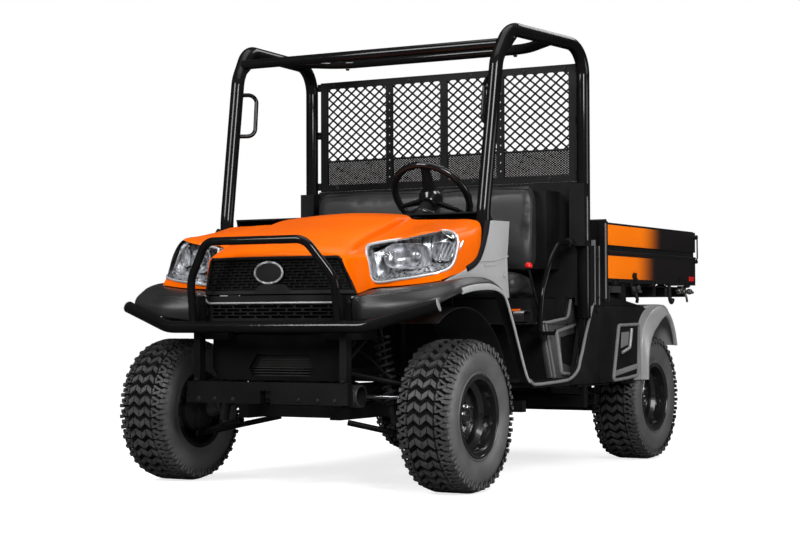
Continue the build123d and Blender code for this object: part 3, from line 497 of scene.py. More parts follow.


# ---- headlights ----
# Each lamp is a clear moulded lens in a bright rim, flush with the hood, over a plated bowl
# with upright flutes, a main reflector with its bulb shield, and an outer ribbed pocket. The flutes
# are only painted, as upright light and dark streaks of painted reflection in the bowl's colour,
# and the plated parts carry painted reflection in patches of their colour.
def sweep(path, radius, steps=14, closed=False, ends=True, flat=1.0):
    """Tube along a path: a circle of radius (or one radius per point) square to the path."""
    path = np.asarray(path, float)
    ahead = np.gradient(path, axis=0)
    if closed:
        ahead = np.roll(path, -1, 0) - np.roll(path, 1, 0)
    ahead /= np.linalg.norm(ahead, axis=1, keepdims=True)
    side = np.zeros_like(path)
    guide = np.array([0.0, 0, 1]) if abs(ahead[0, 2]) < 0.9 else np.array([1.0, 0, 0])
    for k, t in enumerate(ahead):
        guide = guide - t * (guide @ t)
        guide /= np.linalg.norm(guide)
        side[k] = guide
    other = np.cross(ahead, side)
    angle = np.linspace(0, 2 * math.pi, steps, endpoint=False)
    r = np.broadcast_to(np.asarray(radius, float), (len(path),))[:, None, None]
    ring = side[:, None] * np.cos(angle)[None, :, None] * flat + other[:, None] * np.sin(angle)[None, :, None]
    return sheet(path[:, None] + r * ring, around=True, along=closed, caps=ends and not closed)


def rounded(points, bends, per_bend=8):
    """Path through points with each inner corner turned into an arc of the given radius."""
    points = np.asarray(points, float)
    out = [points[0]]
    for a, b, c, radius in zip(points[:-2], points[1:-1], points[2:], bends):
        u, v = (a - b) / np.linalg.norm(a - b), (c - b) / np.linalg.norm(c - b)
        half = math.acos(np.clip(u @ v, -1, 1)) / 2
        if half > math.radians(89):
            out.append(b)
            continue
        reach = radius / math.tan(half)
        middle = b + (u + v) / np.linalg.norm(u + v) * radius / math.sin(half)
        start, stop = b + u * reach - middle, b + v * reach - middle
        swing = math.pi - 2 * half
        for k in range(per_bend + 1):
            f = k / per_bend
            out.append(middle + (start * math.sin((1 - f) * swing) + stop * math.sin(f * swing))
                       / math.sin(swing))
    return np.array(out + [points[-1]])


def clear_lens():
    """Clear plastic: passes light straight through, with a faint skin of reflection and fine ripples."""
    made = bpy.data.materials.new("clear_lens")
    made.use_nodes = True
    nodes, links = made.node_tree.nodes, made.node_tree.links
    nodes.remove(nodes["Principled BSDF"])
    through, shine = nodes.new("ShaderNodeBsdfTransparent"), nodes.new("ShaderNodeBsdfGlossy")
    through.inputs["Color"].default_value = (0.93, 0.94, 0.95, 1)
    shine.inputs["Roughness"].default_value = 0.04
    ripple, bump = nodes.new("ShaderNodeTexNoise"), nodes.new("ShaderNodeBump")
    place = nodes.new("ShaderNodeTexCoord")
    links.new(place.outputs["Object"], ripple.inputs["Vector"])
    ripple.inputs["Scale"].default_value = 25
    bump.inputs["Strength"].default_value = 0.08
    bump.inputs["Distance"].default_value = 0.002
    links.new(ripple.outputs["Fac"], bump.inputs["Height"])
    links.new(bump.outputs["Normal"], shine.inputs["Normal"])
    edge, mix = nodes.new("ShaderNodeFresnel"), nodes.new("ShaderNodeMixShader")
    edge.inputs["IOR"].default_value = 1.1
    links.new(edge.outputs["Fac"], mix.inputs["Fac"])
    links.new(through.outputs["BSDF"], mix.inputs[1])
    links.new(shine.outputs["BSDF"], mix.inputs[2])
    links.new(mix.outputs["Shader"], nodes["Material Output"].inputs["Surface"])
    return made


# Plated parts: colour in patches from dark grey to near white, painted reflection of a chrome finish.
plated_painted_reflection = finish("plated_plastic_painted_reflection", (0.2, 0.2, 0.21), (0.9, 0.9, 0.92), 0.14, metal=0.6, patch=22,
                grain=300, depth=0.15, stretch=(2, 2, 0.8), shine=0.8)
# Lamp bowl: colour in upright streaks from near black to near white, painted reflection standing in for its
# flutes.
bowl_painted_reflection = finish("lamp_bowl_painted_reflection", (0.015, 0.015, 0.017), (0.85, 0.85, 0.87), 0.16, metal=0.5, patch=26,
                   grain=300, depth=0.3, stretch=(3, 3, 0.5), shine=0.8)
lens_clear = clear_lens()
lens = piece("lens_blank", [inward(hood_skin(1.0), 2.5)], lens_clear, "hood")
cut(lens, blank(both(lamp_plug(0.97, 90, 60))), "INTERSECT")
lens.name = "headlight_lenses"
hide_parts("headlights")


def lamp_inside():
    """Bowl behind the left lens: shrinking copies of the ring down to a flat back."""
    ring = spline(LAMP_RING, 72, closed=True)
    centre = ring.mean(0)
    rings = [centre + (ring - centre) * s - LAMP_OUT * d
             for s, d in ((0.985, 4), (0.95, 10), (0.93, 40), (0.86, 62), (0.6, 72), (0.3, 74), (0.02, 74))]
    return sheet(np.stack(rings), around=True)


def lamp_point(a, b, depth):
    """Point at a across and b up from the left lamp's middle, this deep behind its ring."""
    ring = spline(LAMP_RING, 72, closed=True)
    sideways = np.array([0.87, 0.49, 0.0])
    return ring.mean(0) + sideways * a + np.array([0, 0, 1.0]) * b - LAMP_OUT * depth


def lamp_dish(a, b, wide, high, deep):
    """Oval reflector dish with a flat lip, opening outwards."""
    angle = np.linspace(0, 2 * math.pi, 48, endpoint=False)
    square = (np.abs(np.cos(angle)) ** 3.2 + np.abs(np.sin(angle)) ** 3.2) ** (-1 / 3.2)
    rings = []
    for s, d in ((1.06, 22), (1.0, 20), (0.96, 26), (0.8, 42), (0.6, 54), (0.4, 61), (0.2, 64), (0.05, 65)):
        rings.append([lamp_point(a + wide * s * q * math.cos(t), b + high * s * q * math.sin(t), d * deep)
                      for t, q in zip(angle, square)])
    return sheet(np.array(rings), around=True)


def lamp_rim():
    """Bright rim lying along the edge of the left lens."""
    ring = spline(LAMP_RING, 96, closed=True)
    return sweep(ring + LAMP_OUT * 1.0, 5.5, 10, closed=True)


def lamp_ribs():
    """Slanting ribs in the outer pocket, and the bulb shield and its stem in the dish."""
    ribs = []
    for k in range(6):
        a = 78 + 17 * k
        path = [lamp_point(a + 16, 50 + 1.5 * k, 30), lamp_point(a - 14, -26 + 5 * k, 34)]
        ribs.append(sweep(path, 4.5, 8))
    shield = [lamp_point(-12, 0, d) for d in (64, 50, 34, 28, 27)]
    ribs.append(sweep(shield, [10, 19, 17, 10, 1], 24))
    return ribs


piece("headlight_bowls", both(lamp_inside()), bowl_painted_reflection, "hood", outward=False)
piece("headlight_reflectors", both(lamp_dish(-48, -4, 92, 50, 1.0), lamp_dish(96, 16, 44, 38, 0.9)), plated_painted_reflection,
      "hood", outward=False)
piece("headlight_ribs", both(*lamp_ribs()), plated_painted_reflection, "hood")
bezel = finish("lamp_rim", (0.72, 0.72, 0.73), (0.84, 0.84, 0.85), 0.22, metal=0.7, patch=12, grain=600,
               depth=0.05, shine=0.8)
piece("headlight_rims", both(lamp_rim()), bezel, "hood")


# ---- upper grille ----
# Black moulded panel set into the nose: rows of staggered slots between thin bars, a plain
# oval boss in the middle and a raised step along the bottom.
def nose_y(x):
    """Y of the nose's front face at x."""
    return np.interp(np.abs(x), [0, 170, 306, 372, 400], [-336, -329, -301, -257, -230])


def bar(x0, x1, z0, z1, out, deep, steps=2, slant=(0, 0)):
    """Bar following the nose, its face out ahead of the nose and deep thick; slant shifts z along it."""
    x = np.linspace(x0, x1, steps)
    f = (x - x0) / (x1 - x0)
    y, rise = nose_y(x) - out, slant[0] * (1 - f) + slant[1] * f
    grid = [[(a, b, z0 + r), (a, b, z1 + r), (a, b + deep, z1 + r), (a, b + deep, z0 + r)]
            for a, b, r in zip(x, y, rise)]
    return sheet(np.array(grid), around=True, caps=True)


def slotted(edge_at, low, high, rows, pitch, thin, out, deep):
    """Staggered slots: thin bars between the rows and short walls every pitch, shifted by half
    on odd rows."""
    shapes = []
    step = (high - low) / rows
    for k in range(rows + 1):
        z = low + k * step
        reach = edge_at(z)
        shapes.append(bar(-reach, reach, z - thin / 2, z + thin / 2, out, deep, 17))
        if k == rows:
            continue
        for x in np.arange(-reach + (k % 2) * pitch / 2 + 4, reach, pitch):
            shapes.append(bar(x - thin * 0.9, x + thin * 0.9, z, z + step, out - 1.5, deep - 2))
    return shapes


def boss(x, z, wide, high, out, thickness):
    """Oval plate on the nose with a rounded edge."""
    angle = np.linspace(0, 2 * math.pi, 64, endpoint=False)
    rings = []
    for s, d in ((1.0, 0), (1.0, thickness * 0.6), (0.97, thickness * 0.9), (0.92, thickness),
                 (0.02, thickness)):
        px, pz = x + wide * s * np.cos(angle), z + high * s * np.sin(angle)
        rings.append(np.stack([px, nose_y(px) - out - d, pz], 1))
    return sheet(np.stack(rings), around=True, caps=True)


def oval_ring(x, z, wide, high, out, r):
    """Round wire of radius r bent to an oval, standing out from the nose."""
    angle = np.linspace(0, 2 * math.pi, 64, endpoint=False)
    px, pz = x + wide * np.cos(angle), z + high * np.sin(angle)
    return sweep(np.stack([px, nose_y(px) - out, pz], 1), r, 10, closed=True)


def grille_half(z):
    """Half width of the grille's opening at z."""
    return float(np.interp(z, [800, 870, 948, 957], [366, 346, 318, 306]))


black_plastic = finish("black_plastic", (0.006, 0.006, 0.0065), (0.011, 0.011, 0.0115), 0.48, patch=6,
                       grain=1100, depth=0.3, shine=0.06)
gloss_black = finish("gloss_black", (0.004, 0.004, 0.0045), (0.007, 0.007, 0.0075), 0.18, patch=5,
                     grain=500, depth=0.05, coat=0.4)
back_x = np.linspace(-372, 372, 33)
back = np.array([[(x, nose_y(x) + 16, z) for x in back_x * (grille_half(z) + 6) / 372]
                 for z in np.linspace(802, 960, 9)])
frame_path = [(x, nose_y(x) + 2, z) for x, z in
              [(-366, 806), (-346, 870), (-318, 944), (-306, 953)]
              + [(x, 953) for x in np.linspace(-280, 280, 15)]
              + [(306, 953), (318, 944), (346, 870), (366, 806)]]
step_top = [(x, z) for x, z in ((-372, 822), (-70, 822), (-44, 846), (70, 846), (100, 822), (372, 822))]
step_grid = []
for x in np.linspace(-368, 368, 93):
    z = np.interp(x, [p[0] for p in step_top], [p[1] for p in step_top])
    y = nose_y(x)
    step_grid.append([(x, y + 12, z), (x, y - 2, z), (x, y - 6, z - 5), (x, y - 7, 806), (x, y + 12, 804)])
piece("upper_grille_panel", slotted(grille_half, 828, 950, 10, 52, 3.2, -5, 9) + [thick(back, 3)],
      black_plastic, "hood", ["upper_grille"], "black_plastic")
piece("upper_grille_frame", [sweep(frame_path, 7, 8), sheet(np.array(step_grid), around=True, caps=True)],
      black_plastic, "hood")
piece("grille_boss", [boss(0, 893, 66, 42, 0, 6)], black_plastic, "hood")
piece("grille_boss_ring", [oval_ring(0, 893, 67, 43, 5, 4.5)], plated_painted_reflection, "hood")


# ---- lower grille and fascia ----
# Black moulding bolted between the front posts: a satin trim strip along its top, four rows of
# rounded slots below it, and a round socket at each end.
def lower_y(x):
    """How far forward the fascia's face is at x."""
    return np.interp(np.abs(x), [0, 170, 303, 372, 420], [-343, -336, -318, -270, -215])


def low_bar(x0, x1, z0, z1, out, deep, steps=2):
    """Bar following the fascia's face."""
    x = np.linspace(x0, x1, steps)
    y = lower_y(x) - out
    grid = [[(a, b, z0), (a, b, z1), (a, b + deep, z1), (a, b + deep, z0)] for a, b in zip(x, y)]
    return sheet(np.array(grid), around=True, caps=True)


def fascia_shapes():
    """Fascia's bars, slots and end sockets."""
    shapes = [low_bar(-400, 400, 690, 706, 2, 30, 25), low_bar(-396, 396, 762, 800, 0, 30, 25)]
    for k in range(5):
        z = 706 + 14 * k
        shapes.append(low_bar(-300, 300, z - 2, z + 2, -2, 14, 17))
        if k == 4:
            continue
        for x in np.arange(-296 + (k % 2) * 38, 300, 76):
            shapes.append(low_bar(x - 5, x + 5, z, z + 14, -4, 12))
    shapes += [low_bar(-400, -296, 706, 762, 0, 12, 9), low_bar(296, 400, 706, 762, 0, 12, 9)]
    back = [[(x, lower_y(x) + 22, z) for x in np.linspace(-396, 396, 25)] for z in (690, 745, 800)]
    shapes.append(thick(np.array(back), 3))
    for x in (-344, 344):
        y = float(lower_y(x))
        socket = [(y + 5, 20), (y - 12, 20), (y - 14, 17), (y - 14, 12), (y - 6, 11), (y - 6, 0.01)]
        shapes.append(turned(socket, (x, 0, 738), 32, axis="y"))
    return shapes


piece("front_fascia_moulding", fascia_shapes(), black_plastic, "root", ["front_fascia"], "black_plastic")
satin = finish("satin_trim", (0.22, 0.22, 0.225), (0.28, 0.28, 0.285), 0.35, metal=0.1, patch=8, grain=700,
               depth=0.08)
trim_path = [(x, lower_y(x) - 4, z) for x, z in [(-372, 792), (-350, 786), (-330, 774)]
             + [(x, 770) for x in np.linspace(-310, 310, 21)] + [(330, 774), (350, 786), (372, 792)]]
piece("fascia_trim_strip", [sweep(trim_path, 5, 8, flat=0.8)], satin)


# ---- front fenders ----
# Black moulded fenders wrap from the fascia round the corner, over the wheel and down to the
# sill. A grey lip is clipped to the arch's edge and a liner closes the arch from inside.
FENDER_NET = [
    [(372, -240, 800), (374, -268, 800), (375, -292, 792), (376, -298, 786), (376, -304, 744),
     (376, -298, 700), (374, -290, 700)],
    [(412, -182, 824), (422, -235, 818), (436, -290, 800), (440, -296, 794), (444, -312, 750),
     (444, -312, 706), (440, -304, 705)],
    [(522, -172, 832), (540, -222, 828), (560, -282, 808), (564, -289, 802), (572, -314, 762),
     (574, -316, 722), (570, -306, 718)],
    [(640, -158, 844), (662, -198, 842), (692, -244, 822), (697, -251, 816), (716, -276, 786),
     (722, -280, 756), (716, -270, 750)],
    [(690, -140, 852), (712, -162, 850), (742, -182, 838), (749, -187, 832), (768, -198, 812),
     (776, -202, 793), (770, -196, 788)],
    [(697, -100, 856), (722, -108, 858), (747, -118, 856), (754, -120, 850), (772, -124, 832),
     (781, -126, 812), (775, -122, 806)],
    [(700, -40, 862), (724, -42, 866), (745, -43, 867), (752, -44, 862), (771, -45, 844), (781, -46, 824),
     (775, -45, 818)],
    [(702, 50, 866), (726, 50, 871), (746, 50, 873), (753, 50, 868), (770, 50, 850), (780, 50, 831),
     (774, 50, 825)],
    [(703, 140, 864), (727, 140, 869), (746, 140, 870), (753, 140, 865), (769, 141, 850), (777, 141, 832),
     (771, 141, 826)],
    [(703, 230, 848), (725, 231, 851), (744, 231, 852), (751, 230, 848), (764, 228, 836), (772, 225, 819),
     (766, 223, 813)],
    [(700, 310, 812), (722, 312, 815), (741, 310, 814), (748, 308, 810), (760, 302, 800), (766, 293, 788),
     (760, 290, 783)],
    [(697, 385, 724), (717, 386, 725), (734, 383, 722), (741, 380, 718), (752, 374, 710), (758, 367, 700),
     (752, 364, 697)],
    [(694, 465, 600), (712, 465, 600), (727, 462, 597), (734, 459, 594), (745, 454, 590), (751, 448, 583),
     (745, 445, 581)],
    [(691, 545, 475), (708, 545, 475), (722, 542, 473), (729, 540, 471), (739, 535, 469), (745, 529, 465),
     (739, 527, 463)],
    [(690, 580, 432), (707, 580, 432), (721, 578, 431), (728, 576, 431), (738, 572, 430), (744, 567, 429),
     (738, 565, 428)]]


def fender_liner():
    """Sheet round the top of the wheel, from ahead of it to behind, closing the arch from inside."""
    rows = []
    for k in range(25):
        a = math.radians(22 + 100 * k / 24)
        y, z = 40 + 420 * math.cos(a) * 0.98, 330 + 418 * math.sin(a)
        rows.append([(x, y, z) for x in (430, 520, 620, 700)])
    return thick(np.array(rows), 3)


fender_grid = net(FENDER_NET, 150, 40)
fender_black = finish("fender_black", (0.01, 0.01, 0.0104), (0.018, 0.018, 0.0184), 0.3, patch=6, grain=1100,
                      depth=0.2, shine=0.3)
piece("front_fender_mouldings", both(thick(fender_grid, 4), fender_liner()), fender_black, "root",
      ["front_fenders"], "black_plastic", crease=50)
lip = net([[row[5], row[6]] for row in FENDER_NET[5:]], 110, 2)
tall = np.interp(lip[:, 0, 1], [120, 300], [2.4, 1.0])[:, None, None]
lip_shape = sweep(lip[:, 0] + (-1, 0, 1), 5.5, 10, flat=tall)
grey_plastic = finish("grey_plastic", (0.28, 0.28, 0.284), (0.32, 0.32, 0.324), 0.42, patch=5, grain=1000,
                      depth=0.12)
piece("arch_lips", both(lip_shape), grey_plastic)


# ---- side cowls ----
# Silver-grey panels between hood and door opening, each with a tongue running forward under
# the hood's edge, a step across its middle and a screw near the rear edge.
COWL_OUTLINE = [(312, 1116), (456, 1118), (446, 1040), (434, 958), (440, 880), (452, 790), (400, 800),
                (330, 832), (240, 856), (140, 868), (40, 866), (-60, 856), (-140, 846), (-60, 872),
                (40, 900), (90, 922), (140, 944), (200, 990), (256, 1052), (294, 1112)]


def plate(outline, x0, x1, soft=3.0, lean=0.0):
    """Plate from an outline of (y, z), its outer face at x1 with a softened edge; lean tips it with z."""
    o = np.asarray(outline, float)
    centre = o.mean(0)
    before, after = np.roll(o, 1, 0), np.roll(o, -1, 0)
    edge = after - before
    inward_normal = np.stack([-edge[:, 1], edge[:, 0]], 1)
    inward_normal /= np.linalg.norm(inward_normal, axis=1, keepdims=True)
    area = 0.5 * np.sum(o[:, 0] * after[:, 1] - after[:, 0] * o[:, 1])
    if area < 0:
        inward_normal = -inward_normal
    small = o + inward_normal * soft
    rings = [(o, x0), (o, x1 - soft * 0.7), (o + inward_normal * soft * 0.3, x1 - soft * 0.2), (small, x1)]
    grid = [[(x + lean * (z - centre[1]), y, z) for y, z in ring] for ring, x in rings]
    return sheet(np.array(grid), around=True, caps=True)


def cowl_shapes():
    """Left side cowl with its step and a blank raised panel."""
    shapes = [plate(COWL_OUTLINE, 690, 704)]
    step = [(150, 942), (300, 950), (436, 972), (436, 966), (300, 944), (150, 936)]
    shapes.append(plate(step, 700, 708, 2))
    badge = [(215, 930), (330, 938), (332, 926), (217, 918)]
    shapes.append(plate(badge, 700, 706, 2))
    rear = [(408, 966), (420, 966), (428, 905), (418, 860), (408, 905)]
    shapes.append(plate(rear, 702, 707, 2))
    shapes.append(turned([(700, 9), (708, 9), (709, 6), (706, 5), (706, 0.01)], (0, 400, 888), 20))
    return shapes


piece("side_cowl_panels", both(*cowl_shapes()), grey_plastic, "root", ["side_cowls"], "grey_plastic")
seal_path = [(700, 60, 905), (701, 130, 930), (700, 180, 965), (696, 232, 1035), (684, 284, 1110)]
piece("hood_seals", both(sweep(spline(seal_path, 20), 13, 10)), black_plastic)


# ---- roll bar, hoops and guards ----
# Bent steel tube with a gloss black coat: the roll bar and its hoops, the bumper, the brush
# guard and the rails beside the seats. Hex bolts and gussets hold the joints.
tube_paint = finish("tube_paint", (0.002, 0.002, 0.0022), (0.004, 0.004, 0.0043), 0.5, grain=700, depth=0.01,
                    coat=0.35, shine=0.03)
dress(tube_paint, "roll_bar_left", "roll_bar_right", "roof_hoops", "bumper_bar", "brush_guard",
      "hip_guards")
zinc = finish("zinc_bolts", (0.35, 0.35, 0.34), (0.25, 0.25, 0.24), 0.35, metal=1.0, patch=40, grain=600,
              depth=0.1)
dark_bolt = finish("black_bolts", (0.01, 0.01, 0.0105), (0.02, 0.02, 0.0205), 0.4, metal=0.3, patch=40,
                   grain=600, depth=0.1)


def bolt(at, axis, way=1, r=9, tall=7):
    """Flanged hex bolt head standing on a face at this point, way 1 or -1 along the axis."""
    x, y, z = at
    start = {"x": x, "y": y, "z": z}[axis]
    centre = {"x": (0, y, z), "y": (x, 0, z), "z": (x, y, 0)}[axis]
    flange = turned([(start, r * 1.35), (start + way * 1.6, r * 1.35), (start + way * 2, r * 1.2)],
                    centre, 16, axis)
    head = turned([(start, r), (start + way * tall, r), (start + way * (tall + 0.8), r * 0.85)], centre,
                  6, axis, sides=6)
    return merged([flange, head])


def hoop_bolts():
    """Bolts through the roof hoops' end plates and under the rear tube, and the posts' foot bolts."""
    shapes = []
    for x in (-470, 440):
        shapes.append(bolt((x, 1062, 1926), "z", -1, 8))
    for s in (-1, 1):
        for z in (1358, 1374, 1614, 1854):
            shapes.append(bolt((s * 708, 1176, z), "y", -1, 6, 5))
        for z in (740, 800, 980):
            shapes.append(bolt((s * 757, 1268, z), "x", s, 8))
    return shapes


piece("roll_bar_bolts", hoop_bolts(), dark_bolt)


def grab_foot(s):
    """Small saddles where the grab handle meets the post."""
    return [sweep([(s * 668, 399, 1738), (s * 652, 408, 1739)], 13, 16),
            sweep([(s * 664, 368, 1545), (s * 648, 380, 1545)], 13, 16)]


piece("grab_handle_feet", grab_foot(1) + grab_foot(-1), tube_paint)


# ---- rear screen ----
# Flat-bar frame bolted to the rear posts. Expanded metal fills its upper part, and a finer
# perforated sheet the lower quarter.
SCREEN_PANES = ((-657, -322), (-284, -19), (19, 284), (322, 657))
SCREEN_SPLIT = 1490


def box(x, y, z):
    """Plain bar between pairs of limits."""
    grid = [[(a, y[0], z[0]), (a, y[1], z[0]), (a, y[1], z[1]), (a, y[0], z[1])] for a in x]
    return sheet(np.array(grid, float), around=True, caps=True)


def lattice(x0, x1, z0, z1, cell, strand, y, deep):
    """Two families of slanting strips, clipped to the pane: z rises by cell height per cell width."""
    wide, high = cell
    slope = high / wide
    shapes = []
    for way in (1, -1):
        length = math.hypot(wide, high)
        across_x, across_z = strand / 2 * high / length * -way, strand / 2 * wide / length
        first = x0 - (z1 - z0) / slope if way > 0 else x0
        last = x1 if way > 0 else x1 + (z1 - z0) / slope
        for c in np.arange(first + wide / 2, last, wide):
            if way > 0:
                lo, hi = max(x0, c), min(x1, c + (z1 - z0) / slope)
            else:
                lo, hi = max(x0, c - (z1 - z0) / slope), min(x1, c)
            if hi - lo < 1:
                continue
            za, zb = z0 + slope * way * (lo - c), z0 + slope * way * (hi - c)
            back = deep if way > 0 else deep * 0.8
            ends = []
            for px, pz in ((lo, za), (hi, zb)):
                ends.append([(px + across_x, y, pz + across_z), (px + across_x, y + back, pz + across_z),
                             (px - across_x, y + back, pz - across_z), (px - across_x, y, pz - across_z)])
            shapes.append(sheet(np.array(ends), around=True, caps=True))
    return shapes


screen_paint = finish("screen_paint", (0.004, 0.004, 0.0044), (0.008, 0.008, 0.0084), 0.34, patch=2,
                      grain=800, depth=0.1, shine=0.06)
mesh_shapes, fine_shapes = [], []
for low_x, high_x in SCREEN_PANES:
    mesh_shapes += lattice(low_x - 6, high_x + 6, SCREEN_SPLIT - 4, 1857, (53, 43), 8.5, 1181, 2.2)
    mesh_shapes.append(box((low_x - 4, high_x + 4), (1180, 1184), (SCREEN_SPLIT - 8, SCREEN_SPLIT + 2)))
    fine_shapes += lattice(low_x - 6, high_x + 6, 1364, SCREEN_SPLIT - 4, (15, 11), 6.0, 1181, 1.5)
piece("screen_expanded_metal", mesh_shapes, screen_paint, "root", ["rear_screen_mesh"], "black_paint")
piece("screen_perforated_sheet", fine_shapes, screen_paint)
frame_bars = [box((-697, 697), (1176, 1188), (1851, 1883)), box((-697, 697), (1176, 1188), (1338, 1370))]
for a, b in ((-697, -657), (657, 697), (-322, -284), (284, 322), (-19, 19)):
    frame_bars.append(box((a, b), (1177, 1187), (1345, 1875)))
for z in (1346, 1602, 1842):
    frame_bars += both(box((692, 716), (1177, 1187), (z, z + 36)))
screen_frame = piece("screen_frame_bars", frame_bars, screen_paint, "root", ["rear_screen_frame"],
                     "black_paint")
screen_frame.data = screen_frame.data.copy()
screen_holes = [turned([(1160, 4.5), (1200, 4.5)], (s * 303, 0, z), 10, axis="y")
                for s in (-1, 1) for z in range(1400, 1830, 41)]
cut(screen_frame, blank(screen_holes), "DIFFERENCE")
piece("screen_bolts", [bolt((x, 1176, 1866), "y", -1, 7, 5) for x in (-620, -190, 150, 430, 640)]
      + [bolt((x, 1176, 1354), "y", -1, 7, 5) for x in (-600, -100, 160, 560)], dark_bolt)


# ---- seats ----
# Bench in two parts: foam cushions and backs in dark grey vinyl, stitched round the edges
# with a sewn channel down each face. Each is blown up as cloth from a slightly smaller block.
SEAT_SPANS = ((57, 588), (-588, 45))
vinyl = finish("seat_vinyl", (0.016, 0.016, 0.0165), (0.024, 0.024, 0.0245), 0.32, patch=7, grain=900,
               depth=0.3, shine=0.25)
piping = finish("seat_piping", (0.012, 0.012, 0.013), (0.02, 0.02, 0.021), 0.5, patch=9, grain=900,
                depth=0.3)


def soft_block(outline, x0, x1, inset, corner):
    """Block from a side outline, rounded towards both ends: the outline shrinks by an ellipse there."""
    o = spline(np.asarray(outline, float), 72, closed=True)
    centre = o.mean(0)
    grid = []
    for f in np.concatenate([np.linspace(0, 1, 9)[:-1] ** 1.0 * 0.5 * 0.16, [0.1, 0.3, 0.5, 0.7, 0.9],
                             1 - np.linspace(1, 0, 9)[1:] * 0.5 * 0.16]):
        x = x0 + inset + (x1 - x0 - 2 * inset) * f
        gap = min(x - x0 - inset, x1 - inset - x)
        near = max(0.0, 1 - gap / corner)
        shrink = 1 - (1 - math.sqrt(max(0.0, 1 - near ** 2))) * corner / 120
        grid.append([(x, centre[0] + (p[0] - centre[0]) * shrink, centre[1] + (p[1] - centre[1]) * shrink)
                     for p in o])
    return sheet(np.array(grid), around=True, caps=True)


def inflate(made, grain, cap):
    """Fill a pad as pressed-out cloth for 20 frames, then hold each point's movement to cap metres."""
    bpy.ops.object.select_all(action="DESELECT")
    bpy.context.view_layer.objects.active = made
    made.select_set(True)
    made.data.remesh_voxel_size = grain
    bpy.ops.object.voxel_remesh()
    start = np.empty(len(made.data.vertices) * 3)
    made.data.vertices.foreach_get("co", start)
    cloth = made.modifiers.new("filling", "CLOTH")
    cloth.settings.quality = 6
    cloth.settings.mass = 0.3
    cloth.settings.use_pressure = True
    cloth.settings.uniform_pressure_force = 4.0
    cloth.settings.tension_stiffness = 20
    cloth.settings.compression_stiffness = 20
    cloth.settings.bending_stiffness = 2
    cloth.settings.effector_weights.gravity = 0.0
    cloth.point_cache.frame_start, cloth.point_cache.frame_end = 1, 20
    for frame_number in range(1, 21):
        bpy.context.scene.frame_set(frame_number)
    shown = made.evaluated_get(bpy.context.evaluated_depsgraph_get())
    blown = np.empty(len(start))
    shown.data.vertices.foreach_get("co", blown)
    made.modifiers.clear()
    bpy.context.scene.frame_set(1)
    move = (blown - start).reshape(-1, 3)
    length = np.linalg.norm(move, axis=1, keepdims=True)
    move *= np.minimum(1, cap / np.maximum(length, 1e-9))
    made.data.vertices.foreach_set("co", (start.reshape(-1, 3) + move).ravel())
    made.data.update()
    made.data.shade_smooth()
    softer = made.modifiers.new("smoothed", "SUBSURF")
    softer.levels = softer.render_levels = 1


CUSHION_SIDE = [(784, 812), (900, 806), (1006, 806), (1012, 840), (1004, 872), (950, 890), (850, 902),
                (800, 900), (774, 872), (772, 836)]
BACK_SIDE = [(934, 928), (965, 918), (1002, 920), (1014, 980), (1016, 1120), (1012, 1280), (990, 1314),
             (964, 1306), (948, 1270), (940, 1120), (930, 1000)]
pads = []
for place, (x0, x1) in zip(("driver", "passenger"), SEAT_SPANS):
    for part, side, node in (("cushion", CUSHION_SIDE, "seat_cushions"), ("back", BACK_SIDE, "seat_backs")):
        pad = piece(f"{place}_{part}", [soft_block(side, x0, x1, 8, 46)], vinyl, "root", [node], "seat_vinyl",
                    crease=80)
        inflate(pad, 0.008, 0.008 if part == "back" else 0.012)
        pads.append(pad)


def seams():
    """Piping along each back's top edge, and two bowed channels down each back and cushion."""
    shapes = []
    for x0, x1 in SEAT_SPANS:
        wide = x1 - x0
        for f in (0.24, 0.76):
            bow = 1 if f < 0.5 else -1
            line = [(x0 + wide * f + bow * 34, 934, 950), (x0 + wide * f + bow * 26, 938, 1040),
                    (x0 + wide * f + bow * 4, 942, 1150), (x0 + wide * f - bow * 30, 948, 1262)]
            shapes.append(sweep(spline(line, 24), 3.2, 6))
            flat = [(x0 + wide * f + bow * 10, 792, 899), (x0 + wide * f + bow * 22, 880, 900),
                    (x0 + wide * f + bow * 34, 960, 889)]
            shapes.append(sweep(spline(flat, 16), 3.2, 6))
        top = [(x0 + 30, 955, 1292), (x0 + wide / 2, 960, 1306), (x1 - 30, 955, 1292)]
        shapes.append(sweep(spline(top, 24), 3.0, 6))
    return shapes


piece("seat_seams", seams(), piping)


# ---- cab floor, seat box, dash and bulkhead ----
# Black moulded plastic over the frame: the floor with raised ribs, the seat box with a vented
# cover on each side, the dash and the wall behind the seats with its shrouds.
dress(black_plastic, "floor_pan", "seat_base", "dashboard", "bulkhead", "steering_column")
box_gloss = finish("seat_box_plastic", (0.007, 0.007, 0.0075), (0.012, 0.012, 0.0125), 0.28, patch=5,
                   grain=900, depth=0.12)
dress(box_gloss, "seat_base")
mid_grey = finish("mid_grey_plastic", (0.13, 0.13, 0.132), (0.17, 0.17, 0.172), 0.4, patch=7, grain=900,
                  depth=0.12)


def floor_ribs():
    """Raised ribs along the cab floor on both sides of the tunnel."""
    shapes = []
    for k in range(9):
        x = 130 + 58 * k
        shapes.append(box((x, x + 14), (600, 900), (430.5, 434)))
    return both(*shapes)


piece("floor_ribs", floor_ribs(), black_plastic)


def box_side(points, x, proud, soft=3.0):
    """Plate on the seat box's sloping side: x is at floor level and falls 44 mm over the box's height."""
    shape = plate(points, x - 4, x + proud, soft)
    moved_points = shape[0].copy()
    moved_points[:, 0] -= (moved_points[:, 2] - 431) * 44 / 252
    return moved_points, shape[1]


cover = [(1014, 643), (1288, 680), (1230, 557), (1108, 448), (996, 455)]
inner_cover = [(1046, 617), (1240, 640), (1224, 573), (1109, 486), (1022, 503)]
box_face = [(915, 434), (915, 681), (1262, 681), (1262, 434)]


